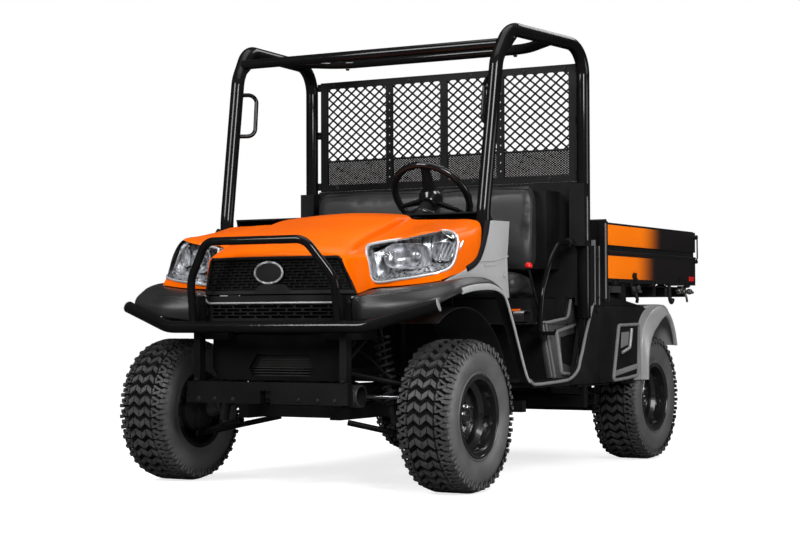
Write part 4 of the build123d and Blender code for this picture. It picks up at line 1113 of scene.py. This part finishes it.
def cover_frame(points, x, r):
    """Raised frame along an outline of (y, z) on the seat box's sloping side."""
    path = rounded([(0, *points[0])] + [(0, *p) for p in points[1:]] + [(0, *points[0])],
                   [12] * (len(points) - 1), 5)[:-1]
    path[:, 0] = x - (path[:, 2] - 431) * 44 / 252
    return sweep(path, r, 8, closed=True)


# Lighter copy of the seat box's black plastic for its corners, side faces, covers and steps: painted light
# where the side lamp falls on them.
satin_black_painted_light = finish("satin_black_plastic_painted_light", (0.035, 0.035, 0.036), (0.05, 0.05, 0.051), 0.34, patch=6,
                     grain=1000, depth=0.15, shine=0.6)
piece("seat_box_corners", both(sweep(spline([(632, 936, 676), (654, 936, 560), (676, 936, 436)], 12),
                                     26, 24)), satin_black_painted_light)
piece("seat_box_sides", both(box_side(box_face, 694, 3)), satin_black_painted_light)
piece("seat_box_covers", both(box_side(cover, 697, 4)), satin_black_painted_light)
piece("seat_box_cover_frames", both(cover_frame(cover, 701, 9)), mid_grey)
piece("seat_box_grilles", both(box_side(inner_cover, 702, 2)), screen_paint)
stud = turned([(0, 2.6), (1.5, 2.6), (1.6, 1.4)], sides=6)
dots = []
for row in range(15):
    z = 492 + row * 9
    first = float(np.interp(z, [486, 503, 617], [1098, 1026, 1050]))
    last = float(np.interp(z, [486, 573, 640], [1104, 1218, 1234]))
    for y in np.arange(first + (row % 2) * 4.5, last, 9):
        dots.append(moved(stud, (703.5 - (z - 431) * 44 / 252, y, z)))
piece("seat_box_grille_studs", both(*dots), box_gloss)


def seat_box_rim():
    """Grey rim along the seat box's top edge, stepping up behind the seat."""
    path = rounded([(200, 921, 684), (656, 921, 684), (660, 1150, 706), (659, 1188, 798), (656, 1288, 816),
                    (656, 1300, 850)], [40, 40, 24, 10], 6)
    return sweep(path, 7, 10)


step_side = [(930, 676), (1262, 676), (1300, 700), (1300, 816), (1192, 798), (1152, 706)]
piece("seat_box_rims", both(seat_box_rim()), mid_grey)
piece("seat_box_steps", both(plate(step_side, 650, 659, 4)), satin_black_painted_light)
piece("seat_box_screws", both(*[moved(turned([(0, 8), (4, 7), (4.5, 3)], (0, 0, 0), 12), (x, y, z))
                               for x, y, z in ((663, 1003, 648), (657, 1152, 682), (676, 1090, 482))]),
      dark_bolt)


def sill_edge():
    """Mid-grey strip along the sill's edge under the door opening, up to the rear pillar."""
    path = [(746, 566, 438), (746, 590, 424), (746, 642, 418), (747, 876, 424), (748, 985, 434),
            (750, 1058, 470), (750, 1084, 512), (751, 1106, 552), (751, 1146, 630), (752, 1190, 710),
            (752, 1227, 774)]
    return sweep(spline(path, 60), 7, 10)


piece("sill_edges", both(sill_edge()), mid_grey)


def shroud_details():
    """Grey edge strips on the bulkhead's shrouds and the upper block's recess, with a grey strip on the light
    pillar that is a painted highlight of the rear post.
    """
    shapes = [box((742, 760), (1236, 1242), (766, 1066)), box((752, 760), (1286, 1292), (766, 1040))]
    shapes += [plate([(1128, 1060), (1136, 1060), (1136, 1250), (1128, 1262)], 764, 771, 2)]
    return both(*shapes)


piece("shroud_strips", shroud_details(), mid_grey)
piece("shroud_recesses", both(plate([(1104, 1075), (1124, 1060), (1124, 1240), (1104, 1232)], 764, 770, 2)),
      gloss_black)


def guard_knobs():
    """Rubber end where each hip guard meets the shroud."""
    return both(turned([(1062, 15), (1066, 20), (1104, 20), (1108, 16)], (700, 0, 1050), 24, axis="y"))


piece("hip_guard_ends", guard_knobs(), black_plastic)


def dash_details():
    """Dash details: hooded meter, switch row, and two lips for the cup hollow's rim and the glove shelf; the
    two air vents are not drawn.
    """
    shapes = []
    for x in (275,):
        shapes.append(sweep([(x - 75, 470, 1100), (x - 60, 455, 1165), (x, 450, 1182), (x + 60, 455, 1165),
                             (x + 75, 470, 1100)], 14, 12))
    shapes.append(box((-560, -60), (486, 512), (1010, 1022)))
    shapes.append(box((-560, -60), (492, 518), (940, 950)))
    for k in range(5):
        shapes.append(box((30 + 26 * k, 50 + 26 * k), (498, 510), (1030, 1056)))
    return shapes


piece("dash_details", dash_details(), gloss_black)
meter_face = finish("meter_face", (0.03, 0.03, 0.032), (0.05, 0.05, 0.052), 0.2, patch=30, grain=400,
                    depth=0.03, coat=0.4)
piece("meter", [turned([(462, 52), (474, 52), (477, 48), (470, 46), (470, 0.01)], (275, 0, 1128), 40,
                       axis="y")], meter_face)


# ---- steering wheel ----
# Moulded rim over a steel core, three spokes and a padded hub with a plain cap.
WHEEL_MIDDLE = np.array([275.0, 545.0, 1236.0])
WHEEL_TILT = math.radians(40)


def on_wheel(a, b, out):
    """Point a right and b up the wheel's plane, and out towards the driver."""
    along = np.array([0, math.cos(WHEEL_TILT), math.sin(WHEEL_TILT)])
    up = np.array([0, -math.sin(WHEEL_TILT), math.cos(WHEEL_TILT)])
    return WHEEL_MIDDLE + np.array([1.0, 0, 0]) * a + up * b + along * out


def wheel_shapes():
    """Steering wheel's rim, hub and spokes."""
    angle = np.linspace(0, 2 * math.pi, 72, endpoint=False)
    rim = sweep([on_wheel(178 * math.cos(t), 178 * math.sin(t), 8) for t in angle],
                16 + 0.8 * np.cos(angle * 24), 14, closed=True)
    hub = [[on_wheel(r * math.cos(t), r * math.sin(t), out) for t in angle]
           for r, out in ((30, -40), (34, -30), (52, -18), (58, -4), (54, 8), (40, 16), (20, 19), (0.5, 19))]
    shapes = [rim, sheet(np.array(hub), around=True, caps=True)]
    for turn in (math.radians(82), math.radians(195), math.radians(325)):
        path = [on_wheel(r * math.cos(turn), r * math.sin(turn), out)
                for r, out in ((30, -6), (70, 0), (120, 6), (172, 8))]
        shapes.append(sweep(spline(path, 16), np.linspace(34, 18, 16), 14, flat=0.5))
    return shapes


piece("steering_wheel_moulding", wheel_shapes(), gloss_black, "steering_wheel", ["steering_wheel"],
      "black_plastic")


# ---- levers and pedals ----
# Steel levers with moulded knobs beside the seat; the pedals' ribbed rubber pads are not drawn.
red = finish("red_knob", (0.55, 0.01, 0.008), (0.62, 0.015, 0.01), 0.3, patch=20, grain=500, depth=0.05,
             coat=0.4)
orange_knob = finish("orange_knob", (0.75, 0.1, 0.004), (0.8, 0.13, 0.005), 0.35, patch=20, grain=500,
                     depth=0.05)
dress(dark_bolt, "controls")
ball = [(-17 * math.cos(t), max(0.01, 18 * math.sin(t))) for t in np.linspace(0.02, math.pi - 0.02, 13)]
piece("bed_lever_knob", [moved(turned(ball, (0, 0, 0), 24, axis="z"), (638, 780, 937))], red)
piece("seat_lever", [sweep([(600, 735, 690), (600, 728, 738)], 5, 10),
                     sweep([(560, 735, 690), (560, 735, 640)], 6, 10)], dark_bolt)
piece("seat_lever_knob", [box((584, 616), (716, 740), (736, 746)), box((594, 606), (722, 734), (722, 738))],
      orange_knob)
piece("seat_slide_bracket", [thick(net([[(600, 700, 690), (600, 704, 726), (600, 730, 736), (600, 776, 730),
                                          (600, 790, 690)],
                                         [(650, 700, 690), (650, 704, 726), (650, 730, 736), (650, 776, 730),
                                          (650, 790, 690)]], 4, 20), 4)], machined)


# ---- rear fenders ----
# Black side panels behind the cab with a moulded flare over the wheel. A storage door with a
# grey frame and an angled handle opens in the panel, and a deck closes the top.
ARCH_ROOF = [(1722, 405), (1732, 520), (1745, 600), (1770, 660), (1805, 705), (1850, 738), (1905, 758),
             (1985, 768), (2070, 770), (2150, 764), (2205, 730), (2245, 660), (2262, 566)]
FLARE_EDGE = [(1806, 404), (1808, 500), (1816, 580), (1830, 628), (1850, 660), (1876, 688), (1908, 712),
              (1962, 738), (2034, 758), (2104, 764), (2172, 734), (2226, 656), (2250, 566)]
FLARE_LIP = [(1832, 404), (1838, 500), (1852, 562), (1868, 594), (1892, 624), (1918, 647), (1946, 664),
             (1992, 692), (2042, 714), (2094, 726), (2150, 700), (2196, 640), (2226, 566)]


def flare_net():
    """Rows along the arch: its roof, out to the side panel's face, then over the flare to its lip."""
    roof, edge, lip = (np.array(line, float) for line in (ARCH_ROOF, FLARE_EDGE, FLARE_LIP))
    inwards = (lip - edge) / np.linalg.norm(lip - edge, axis=1, keepdims=True)
    lines = [(560, roof), (700, roof), (740, roof), (745, roof * 0.6 + edge * 0.4), (746, edge),
             (754, edge * 0.86 + lip * 0.14), (765, edge * 0.6 + lip * 0.4), (775, edge * 0.26 + lip * 0.74),
             (780, lip), (778, lip + inwards * 8), (768, lip + inwards * 10)]
    return [[(x, *line[k]) for x, line in lines] for k in range(len(roof))]


# Black plastic flares and door handles given a mid-grey colour: painted sheen where they catch the light.
painted_sheen_grey = finish("painted_sheen_grey", (0.2, 0.2, 0.202), (0.25, 0.25, 0.252), 0.3, patch=6, grain=1000,
                     depth=0.15, shine=0.9)
rear_flare = thick(net(flare_net(), 110, 60), -3)
piece("rear_flares", both(rear_flare), painted_sheen_grey, "root", ["rear_fenders"], "black_plastic", crease=50)


def fender_panels():
    """Side panel ahead of the wheel with its door opening's border, the top deck and the inner wall."""
    panel = [(1262, 402), (1806, 402), (1808, 520), (1820, 600), (1838, 648), (1872, 694), (1920, 726),
             (1966, 748), (1790, 760), (1262, 760)]
    top = thick(np.array([[(x, y, z) for x in (520, 640, 742)] for y, z in
                          ((1262, 742), (1275, 758), (1500, 760), (1800, 760), (1900, 756))]), 4)
    fold = [box((738, 744), (1270, 1276), (410, 752)), box((738, 746), (1480, 1486), (404, 700))]
    pillar = [(990, 404), (1010, 428), (1060, 462), (1086, 506), (1146, 618), (1228, 768), (1300, 768),
              (1300, 404)]
    tray = [(1264, 752), (1264, 804), (1500, 804), (1640, 790), (1780, 774), (1880, 758)]
    low_box = [(1064, 400), (1310, 400), (1310, 472), (1296, 482), (1090, 482), (1064, 440)]
    return [plate(panel, 743.5, 747, 2), plate(pillar, 738, 749, 3), plate(tray, 440, 739, 4),
            plate(low_box, 700, 747, 6), top] + fold


DOOR = [(1464, 410), (1534, 670), (1784, 674), (1768, 426)]
DOOR_INNER = [(1480, 420), (1546, 660), (1782, 666), (1766, 432)]
piece("rear_side_panels", both(*fender_panels()), black_plastic)
door_edge = rounded([(750, 1640, 417)] + [(750, y, z) for y, z in DOOR] + [(750, 1641, 417)], [16] * 4, 6)
piece("storage_door_frames", both(sweep(door_edge[:-1], 10, 10, closed=True, flat=0.8)), mid_grey)
piece("storage_doors", both(plate(DOOR_INNER, 745, 750, 3)), black_plastic)
handle = rounded([(754, 1570, 540), (755, 1660, 562), (755, 1684, 654)], [20])
piece("storage_door_handles", both(sweep(handle, 8, 10, flat=0.9)), painted_sheen_grey)
door_sill_lip = plate([(1494, 430), (1770, 460), (1768, 484), (1500, 456)], 747, 756, 3)
door_recess = plate([(1560, 560), (1650, 576), (1664, 640), (1570, 636)], 747, 752, 3)
piece("storage_door_lips", both(door_sill_lip, door_recess), mid_grey)


# ---- cargo bed ----
# Pressed steel deck and drop sides in black. Each side has two painted panels, orange at the
# front running to black, parted by a groove with a rolled ridge; latches and hooks are bolted on.
bed_black = finish("bed_black", (0.006, 0.006, 0.0065), (0.011, 0.011, 0.0115), 0.28, patch=5, grain=800,
                   depth=0.08, coat=0.15)
dress(bed_black, "bed_deck", "bed_front_wall", "tailgate", "side_gate_left", "side_gate_right")


def fading_paint():
    """Orange paint at the front of the side running to black, a little further back on the upper panel."""
    made = finish("bed_side_paint", (0.88, 0.17, 0.0002), (0.92, 0.19, 0.0004), 0.3, patch=3, grain=800,
                  depth=0.03, coat=0.035, shine=0.3, glint=(1, 0.4, 0.02))
    nodes, links = made.node_tree.nodes, made.node_tree.links
    shader = nodes["Principled BSDF"]
    colour = shader.inputs["Base Color"].links[0].from_socket
    place = nodes.new("ShaderNodeTexCoord")
    apart = nodes.new("ShaderNodeSeparateXYZ")
    links.new(place.outputs["Object"], apart.inputs["Vector"])
    upper = nodes.new("ShaderNodeMath")
    upper.operation = "GREATER_THAN"
    upper.inputs[1].default_value = 1.02
    links.new(apart.outputs["Z"], upper.inputs[0])
    shift = nodes.new("ShaderNodeMath")
    shift.operation = "MULTIPLY_ADD"
    shift.inputs[1].default_value = -0.085
    links.new(upper.outputs["Value"], shift.inputs[0])
    links.new(apart.outputs["Y"], shift.inputs[2])
    fade = nodes.new("ShaderNodeMapRange")
    fade.interpolation_type = "SMOOTHSTEP"
    fade.inputs["From Min"].default_value = 0.66
    fade.inputs["From Max"].default_value = 0.95
    links.new(shift.outputs["Value"], fade.inputs["Value"])
    mix = nodes.new("ShaderNodeMix")
    mix.data_type = "RGBA"
    links.new(fade.outputs["Result"], mix.inputs["Factor"])
    links.new(colour, mix.inputs["A"])
    mix.inputs["B"].default_value = (0.008, 0.008, 0.009, 1)
    links.new(mix.outputs["Result"], shader.inputs["Base Color"])
    return made


side_paint = fading_paint()
for place, s in (("left", 1), ("right", -1)):
    upper = plate([(1402, 1050), (2570, 1050), (2570, 1146), (1402, 1146)], 750, 752.2, 1.5)
    lower = plate([(1402, 892), (2570, 892), (2570, 1000), (1402, 1000)], 750, 752.2, 1.5)
    faces = [upper, lower] if s > 0 else [other_side(upper), other_side(lower)]
    piece(f"side_panels_{place}", faces, side_paint, f"side_gate_{place}", slot="bed_paint")
    ridge = sweep([(752, 1400, 1018), (752, 2572, 1018)], 6, 12)
    lipped = sweep([(736, 1398, 1154), (736, 2576, 1154)], 5, 12, flat=0.8)
    latch = [box((748, 760), (1712, 1746), (884, 924)), box((752, 766), (1704, 1722), (900, 916)),
             turned([(752, 8), (766, 8), (768, 5)], (0, 1734, 892), 12)]
    latch += [box((750, 757), (2336, 2350), (886, 910)), bolt((752, 2420, 900), "x", 1, 5, 4)]
    parts = [ridge, lipped] + latch
    piece(f"side_trim_{place}", parts if s > 0 else [other_side(p) for p in parts], bed_black,
          f"side_gate_{place}")
red_glass = finish("red_reflector", (0.5, 0.006, 0.006), (0.6, 0.01, 0.008), 0.15, patch=60, grain=250,
                   depth=0.3, coat=0.5)
for place, s in (("left", 1), ("right", -1)):
    mark = plate([(2478, 896), (2544, 896), (2544, 920), (2478, 920)], 750, 755, 2)
    piece(f"side_reflector_{place}", [mark if s > 0 else other_side(mark)], red_glass, f"side_gate_{place}")


def front_posts():
    """Folded end posts of the bed's front wall, ribs pressed into the wall and a round bar along its top."""
    shapes = [box((724, 757), (1362, 1376), (792, 1160)), box((748, 757), (1374, 1396), (800, 1160))]
    out = both(*shapes)
    for x in range(-600, 601, 150):
        out.append(box((x - 18, x + 18), (1376, 1384), (900, 1120)))
    out.append(sweep([(-750, 1392, 1163), (750, 1392, 1163)], 8, 10))
    return out


piece("bed_front_posts", front_posts(), bed_black, "bed")
piece("bed_post_edges", both(box((757, 759), (1360, 1374), (796, 1150))), mid_grey, "bed")
floor_ridges = [box((x, x + 26), (1420, 2530), (865.5, 870)) for x in range(-650, 640, 78)]
piece("bed_floor_ridges", floor_ridges, bed_black, "bed")


def bed_hooks():
    """Tie-down hooks, latch rods and brackets hung along the deck's edge."""
    shapes = []
    hook = rounded([(740, 1376, 858), (742, 1380, 784), (742, 1440, 784), (740, 1446, 858)], [10, 10])
    shapes.append(sweep(hook, 5, 10))
    shapes.append(box((716, 750), (1600, 1612), (790, 866)))
    shapes.append(moved(turned([(736, 24), (752, 24), (756, 16)], (0, 0, 0), 20), (0, 1748, 838)))
    swing = rounded([(744, 1700, 876), (752, 1716, 830), (752, 1770, 800), (746, 1776, 780)], [14, 14])
    shapes.append(sweep(swing, 8, 10))
    claw = rounded([(744, 2214, 868), (748, 2214, 800), (748, 2236, 778), (748, 2256, 800)], [14, 12])
    shapes.append(sweep(claw, 10, 10))
    return shapes


def latch_shafts():
    """Plated latch shaft with its cams and spring near the tail."""
    shaft = sweep([(742, 2330, 846), (742, 2560, 838)], 7, 12)
    cams = [turned([(y, 15), (y + 18, 15)], (742, 0, 842), 20, axis="y") for y in (2350, 2420, 2500)]
    angle = np.linspace(0, 2 * math.pi * 9, 160)
    spring = np.stack([742 + 11 * np.cos(angle), 2375 + angle * 0.62, 843 + 11 * np.sin(angle)], 1)
    lever = sweep(rounded([(742, 2440, 842), (750, 2446, 812), (750, 2456, 788)], [14]), 6, 10)
    plate_box = box((726, 749), (1467, 1568), (826, 857))
    rings = [turned([(753, r), (759, r), (760, r - 4)], (0, y, z), 20) for y, z, r in
             ((1716, 846, 13), (1780, 850, 15), (1748, 814, 10), (2372, 850, 14))]
    tie = sweep([(748, 1730, 842), (750, 1822, 834)], 6, 10)
    return [shaft, lever, plate_box, tie, sweep(spring, 1.8, 6)] + rings + cams


piece("bed_hooks", both(*bed_hooks()), dark_bolt, "bed")
piece("bed_latch_shafts", both(*latch_shafts()), zinc, "bed")


def tail_latches():
    """Draw latches on the tailgate's ends: a loop from one stud down to a second; the chain's end links below
    are not drawn.
    """
    shapes = []
    loop = rounded([(758, 2560, 1128), (760, 2582, 1124), (760, 2584, 1020), (758, 2564, 1000)], [8, 8])
    shapes.append(sweep(loop, 4, 10))
    shapes.append(turned([(752, 12), (768, 12), (770, 8)], (0, 2562, 1128), 16))
    shapes.append(turned([(752, 10), (766, 10), (768, 7)], (0, 2566, 1000), 16))
    return shapes


for place, s in (("left", 1), ("right", -1)):
    parts = tail_latches()
    piece(f"tail_latch_{place}", parts if s > 0 else [other_side(p) for p in parts], bed_black,
          f"side_gate_{place}")
tail_ribs = [box((x - 30, x + 30), (2576, 2580), (900, 1120)) for x in range(-560, 561, 140)]
piece("tailgate_ribs", tail_ribs, bed_black, "tailgate")


# ---- springs and boots ----
# Coil springs over gas dampers at all four corners; ribbed rubber boots on the axle shafts
# and the steering rack.
SPRING_ENDS = (((430, -44, 262), (348, -44, 684), 29, 9), ((440, 2140, 300), (415, 2160, 690), 44, 9))


def coil_over(low, high, radius, turns):
    """Spring wire wound round the line between the eyes, over a two-part damper."""
    low, high = np.array(low, float), np.array(high, float)
    along = (high - low) / np.linalg.norm(high - low)
    side = np.cross(along, (0, 1, 0))
    side /= np.linalg.norm(side)
    other = np.cross(along, side)
    f = np.linspace(0, 1, turns * 18)
    angle = 2 * math.pi * turns * f
    wire = (low + (high - low) * (0.24 + 0.6 * f)[:, None]
            + radius * (np.cos(angle)[:, None] * side + np.sin(angle)[:, None] * other))
    body = sweep([low + (high - low) * t for t in (0.02, 0.3, 0.5)], [20, 22, 22], 20)
    rod = sweep([low + (high - low) * t for t in (0.5, 0.97)], 9, 14)
    caps = [sweep([low + (high - low) * t for t in ends], radius + 10, 24)
            for ends in ((0.215, 0.235), (0.845, 0.87))]
    return wire, [body, rod] + caps


wires, dampers = [], []
for low, high, radius, turns in SPRING_ENDS:
    wire, parts = coil_over(low, high, radius, turns)
    wires.append(sweep(wire, 6.5, 8))
    dampers += parts
spring_paint = finish("spring_paint", (0.02, 0.02, 0.0205), (0.035, 0.035, 0.0355), 0.3, metal=0.2, patch=20,
                      grain=500, depth=0.1)
piece("coil_springs", both(*wires), spring_paint)
piece("dampers", both(*dampers), dark_bolt, "root", ["shock_absorbers"], "cast_steel")


def bellows(a, b, small, large, folds):
    """Ribbed boot between two points, its radius rising and falling once per fold."""
    a, b = np.array(a, float), np.array(b, float)
    f = np.linspace(0, 1, folds * 6 + 1)
    swell = small + (large - small) * (0.35 + 0.65 * f) * (0.5 - 0.5 * np.cos(2 * math.pi * folds * f))
    return sweep([a + (b - a) * t for t in f], swell, 20)


rack_boot = [(254, 0.001), (254, 43)] + [(258 + 4 * k, 47 if k % 2 else 42.5) for k in range(12)] + [
    (306, 43), (306, 40.5), (262, 40.5), (262, 0.001)]
boots = [bellows((150, 0, 400), (215, 0, 385), 30, 46, 5), bellows((520, 0, 326), (470, 0, 336), 28, 44, 5),
         turned(rack_boot, (0, -112, 386), 28)]
piece("shaft_boots", both(*boots), rubber)
hose = [(120, -150, 560), (160, -190, 520), (230, -215, 500), (300, -200, 540), (348, -120, 640)]
cable = [(90, -160, 700), (140, -205, 640), (240, -210, 600), (330, -130, 560), (470, -40, 400),
         (540, 20, 360)]
piece("brake_hoses", both(sweep(spline(cable, 50), 5, 8), sweep(spline(hose, 40), 9, 10)), black_plastic)


# ---- front beam and guard details ----
# Bolts through the front beam and the guard's feet, and the skid
# plate with its opening below the radiator.
def beam_details():
    """Bolts through the front beam and the guard's feet."""
    shapes = []
    for x in (-330, -250, -160, 160, 250, 330):
        shapes.append(bolt((x, -363, 376), "y", -1, 7, 5))
    for s in (-1, 1):
        shapes.append(bolt((s * 356, -345, 452), "z", 1, 8))
        shapes.append(bolt((s * 372, -323, 770), "x", s, 8))
    return shapes


piece("front_beam_bolts", beam_details(), dark_bolt)
cap_way = np.array([279.0, 93, 85]) / np.linalg.norm([279, 93, 85])
cap_at = np.array([757.0, -285, 757])
piece("bumper_end_caps", both(sweep([cap_at - cap_way, cap_at + cap_way * 3], 25.5, 28)), satin)
pan = [(-300, 452), (300, 452), (332, 500), (330, 640), (-330, 640), (-332, 500)]
hole = [(-130, 470), (150, 470), (170, 500), (140, 560), (-110, 560), (-150, 500)]
# Extra-dark black for the plate in front of the radiator: a black part, and its darkness beyond that is
# painted shade under the front.
painted_shade_black = finish("painted_shade_black", (0.002, 0.002, 0.002), (0.004, 0.004, 0.004), 0.6, patch=6, grain=900,
                    shine=0.05)
splash = piece("radiator_shroud", [across(pan, -262, -250)], painted_shade_black)
cut(splash, blank([across(hole, -290, -220)]), "DIFFERENCE")
fins = [box((-250, 250), (-240, -236), (470 + 11 * k, 474 + 11 * k)) for k in range(14)]
piece("radiator_fins", fins, cast_iron)


# ---- engine, exhaust and hitch ----
# Plain cast and pressed parts behind the cab, seen from below and behind.
exhaust = finish("exhaust_steel", (0.16, 0.14, 0.12), (0.09, 0.08, 0.075), 0.55, metal=0.8, patch=12,
                 grain=300, depth=0.3)
dress(exhaust, "muffler")
ribs = [box((-186, 186), (1400 + 36 * k, 1412 + 36 * k), (470, 694)) for k in range(9)]
piece("engine_ribs", ribs, cast_iron)
piece("lift_rod_eye_bolts", [turned([(270, 9), (350, 9)], (0, 1620, 400), 6, sides=6)], dark_bolt)


# ---- studio ----
# A pale sweep of floor under a white room, lit by large soft boxes from above and both sides.
CAMERA_AT = (4.1225, -7.5778, 0.7013)
YAW, PITCH, ROLL = math.radians(29.58), math.radians(1.62), math.radians(-0.16)
LENS = 81.75

floor_mesh = bpy.data.meshes.new("floor")
floor_mesh.from_pydata([(-60, -60, 0), (60, -60, 0), (60, 60, 0), (-60, 60, 0)], [], [(0, 1, 2, 3)])
floor = bpy.data.objects.new("floor", floor_mesh)
bpy.context.scene.collection.objects.link(floor)
pale = bpy.data.materials.new("pale_floor")
pale.use_nodes = True
tree = pale.node_tree
base = tree.nodes["Principled BSDF"]
base.inputs["Roughness"].default_value = 0.9
base.inputs["Specular IOR Level"].default_value = 0.1
base.inputs["Emission Color"].default_value = (1, 1, 1, 1)
floor_eye = tree.nodes.new("ShaderNodeLightPath")
floor_tint = tree.nodes.new("ShaderNodeMix")
floor_tint.data_type = "RGBA"
floor_tint.inputs["A"].default_value = (0.5, 0.5, 0.5, 1)
floor_tint.inputs["B"].default_value = (0.06, 0.06, 0.06, 1)
tree.links.new(floor_eye.outputs["Is Glossy Ray"], floor_tint.inputs["Factor"])
tree.links.new(floor_tint.outputs["Result"], base.inputs["Base Color"])
floor_glow = tree.nodes.new("ShaderNodeMath")
floor_glow.operation = "MULTIPLY"
floor_glow.inputs[1].default_value = 0.76
tree.links.new(floor_eye.outputs["Is Camera Ray"], floor_glow.inputs[0])
tree.links.new(floor_glow.outputs["Value"], base.inputs["Emission Strength"])
floor_mesh.materials.append(pale)

world = bpy.data.worlds.new("white_room")
bpy.context.scene.world = world
world.use_nodes = True
tree = world.node_tree
back = tree.nodes["Background"]
back.inputs["Color"].default_value = (1, 1, 1, 1)
path = tree.nodes.new("ShaderNodeLightPath")
level = tree.nodes.new("ShaderNodeMapRange")
level.inputs["To Min"].default_value = 0.3
level.inputs["To Max"].default_value = 0.04
tree.links.new(path.outputs["Is Glossy Ray"], level.inputs["Value"])
strength = tree.nodes.new("ShaderNodeMath")
strength.operation = "MAXIMUM"
tree.links.new(level.outputs["Result"], strength.inputs[0])
tree.links.new(path.outputs["Is Camera Ray"], strength.inputs[1])
tree.links.new(strength.outputs["Value"], back.inputs["Strength"])


def soft_box(name, at, aim, size, watts):
    """Area lamp of a size, placed at a point and turned towards another."""
    lamp = bpy.data.lights.new(name, "AREA")
    lamp.shape = "RECTANGLE"
    lamp.size, lamp.size_y = size
    lamp.energy = watts
    made = bpy.data.objects.new(name, lamp)
    bpy.context.scene.collection.objects.link(made)
    ahead = np.asarray(aim, float) - np.asarray(at, float)
    from mathutils import Vector
    made.rotation_mode = "QUATERNION"
    made.rotation_quaternion = Vector(ahead).to_track_quat("-Z", "Y")
    made.location = at


soft_box("above", (0.3, -0.8, 4.6), (0, 0, 0.8), (2.6, 4.0), 60)
soft_box("front", (-1.9, -5.2, 3.4), (0, -0.6, 0.9), (1.8, 1.8), 215)
soft_box("left_side", (3.7, -4.0, 3.1), (0.2, 0, 0.7), (1.5, 1.8), 250)
soft_box("left_fill", (5.4, 0.8, 1.6), (0.4, 0.6, 0.9), (2.4, 1.6), 60)
soft_box("rear", (0.8, 4.6, 5.0), (0, 0.6, 1.0), (3, 1.5), 80)
sky_data = bpy.data.lights.new("ceiling", "SUN")
sky_data.energy = 0.7
sky_data.angle = math.radians(60)
sky = bpy.data.objects.new("ceiling", sky_data)
bpy.context.scene.collection.objects.link(sky)

cam_data = bpy.data.cameras.new("camera")
cam = bpy.data.objects.new("camera", cam_data)
bpy.context.scene.collection.objects.link(cam)
cam_data.lens = LENS
cam_data.sensor_width = 36.0
ahead = np.array([-math.sin(YAW) * math.cos(PITCH), math.cos(YAW) * math.cos(PITCH), math.sin(PITCH)])
right = np.array([math.cos(YAW), math.sin(YAW), 0.0])
up = np.cross(right, ahead)
rolled_right = math.cos(ROLL) * right + math.sin(ROLL) * up
rolled_up = -math.sin(ROLL) * right + math.cos(ROLL) * up
turn = Matrix([[rolled_right[k], rolled_up[k], -ahead[k], CAMERA_AT[k]] for k in range(3)] + [[0, 0, 0, 1]])
cam.matrix_world = turn
bpy.context.scene.camera = cam
bpy.context.scene.view_settings.view_transform = "Standard"
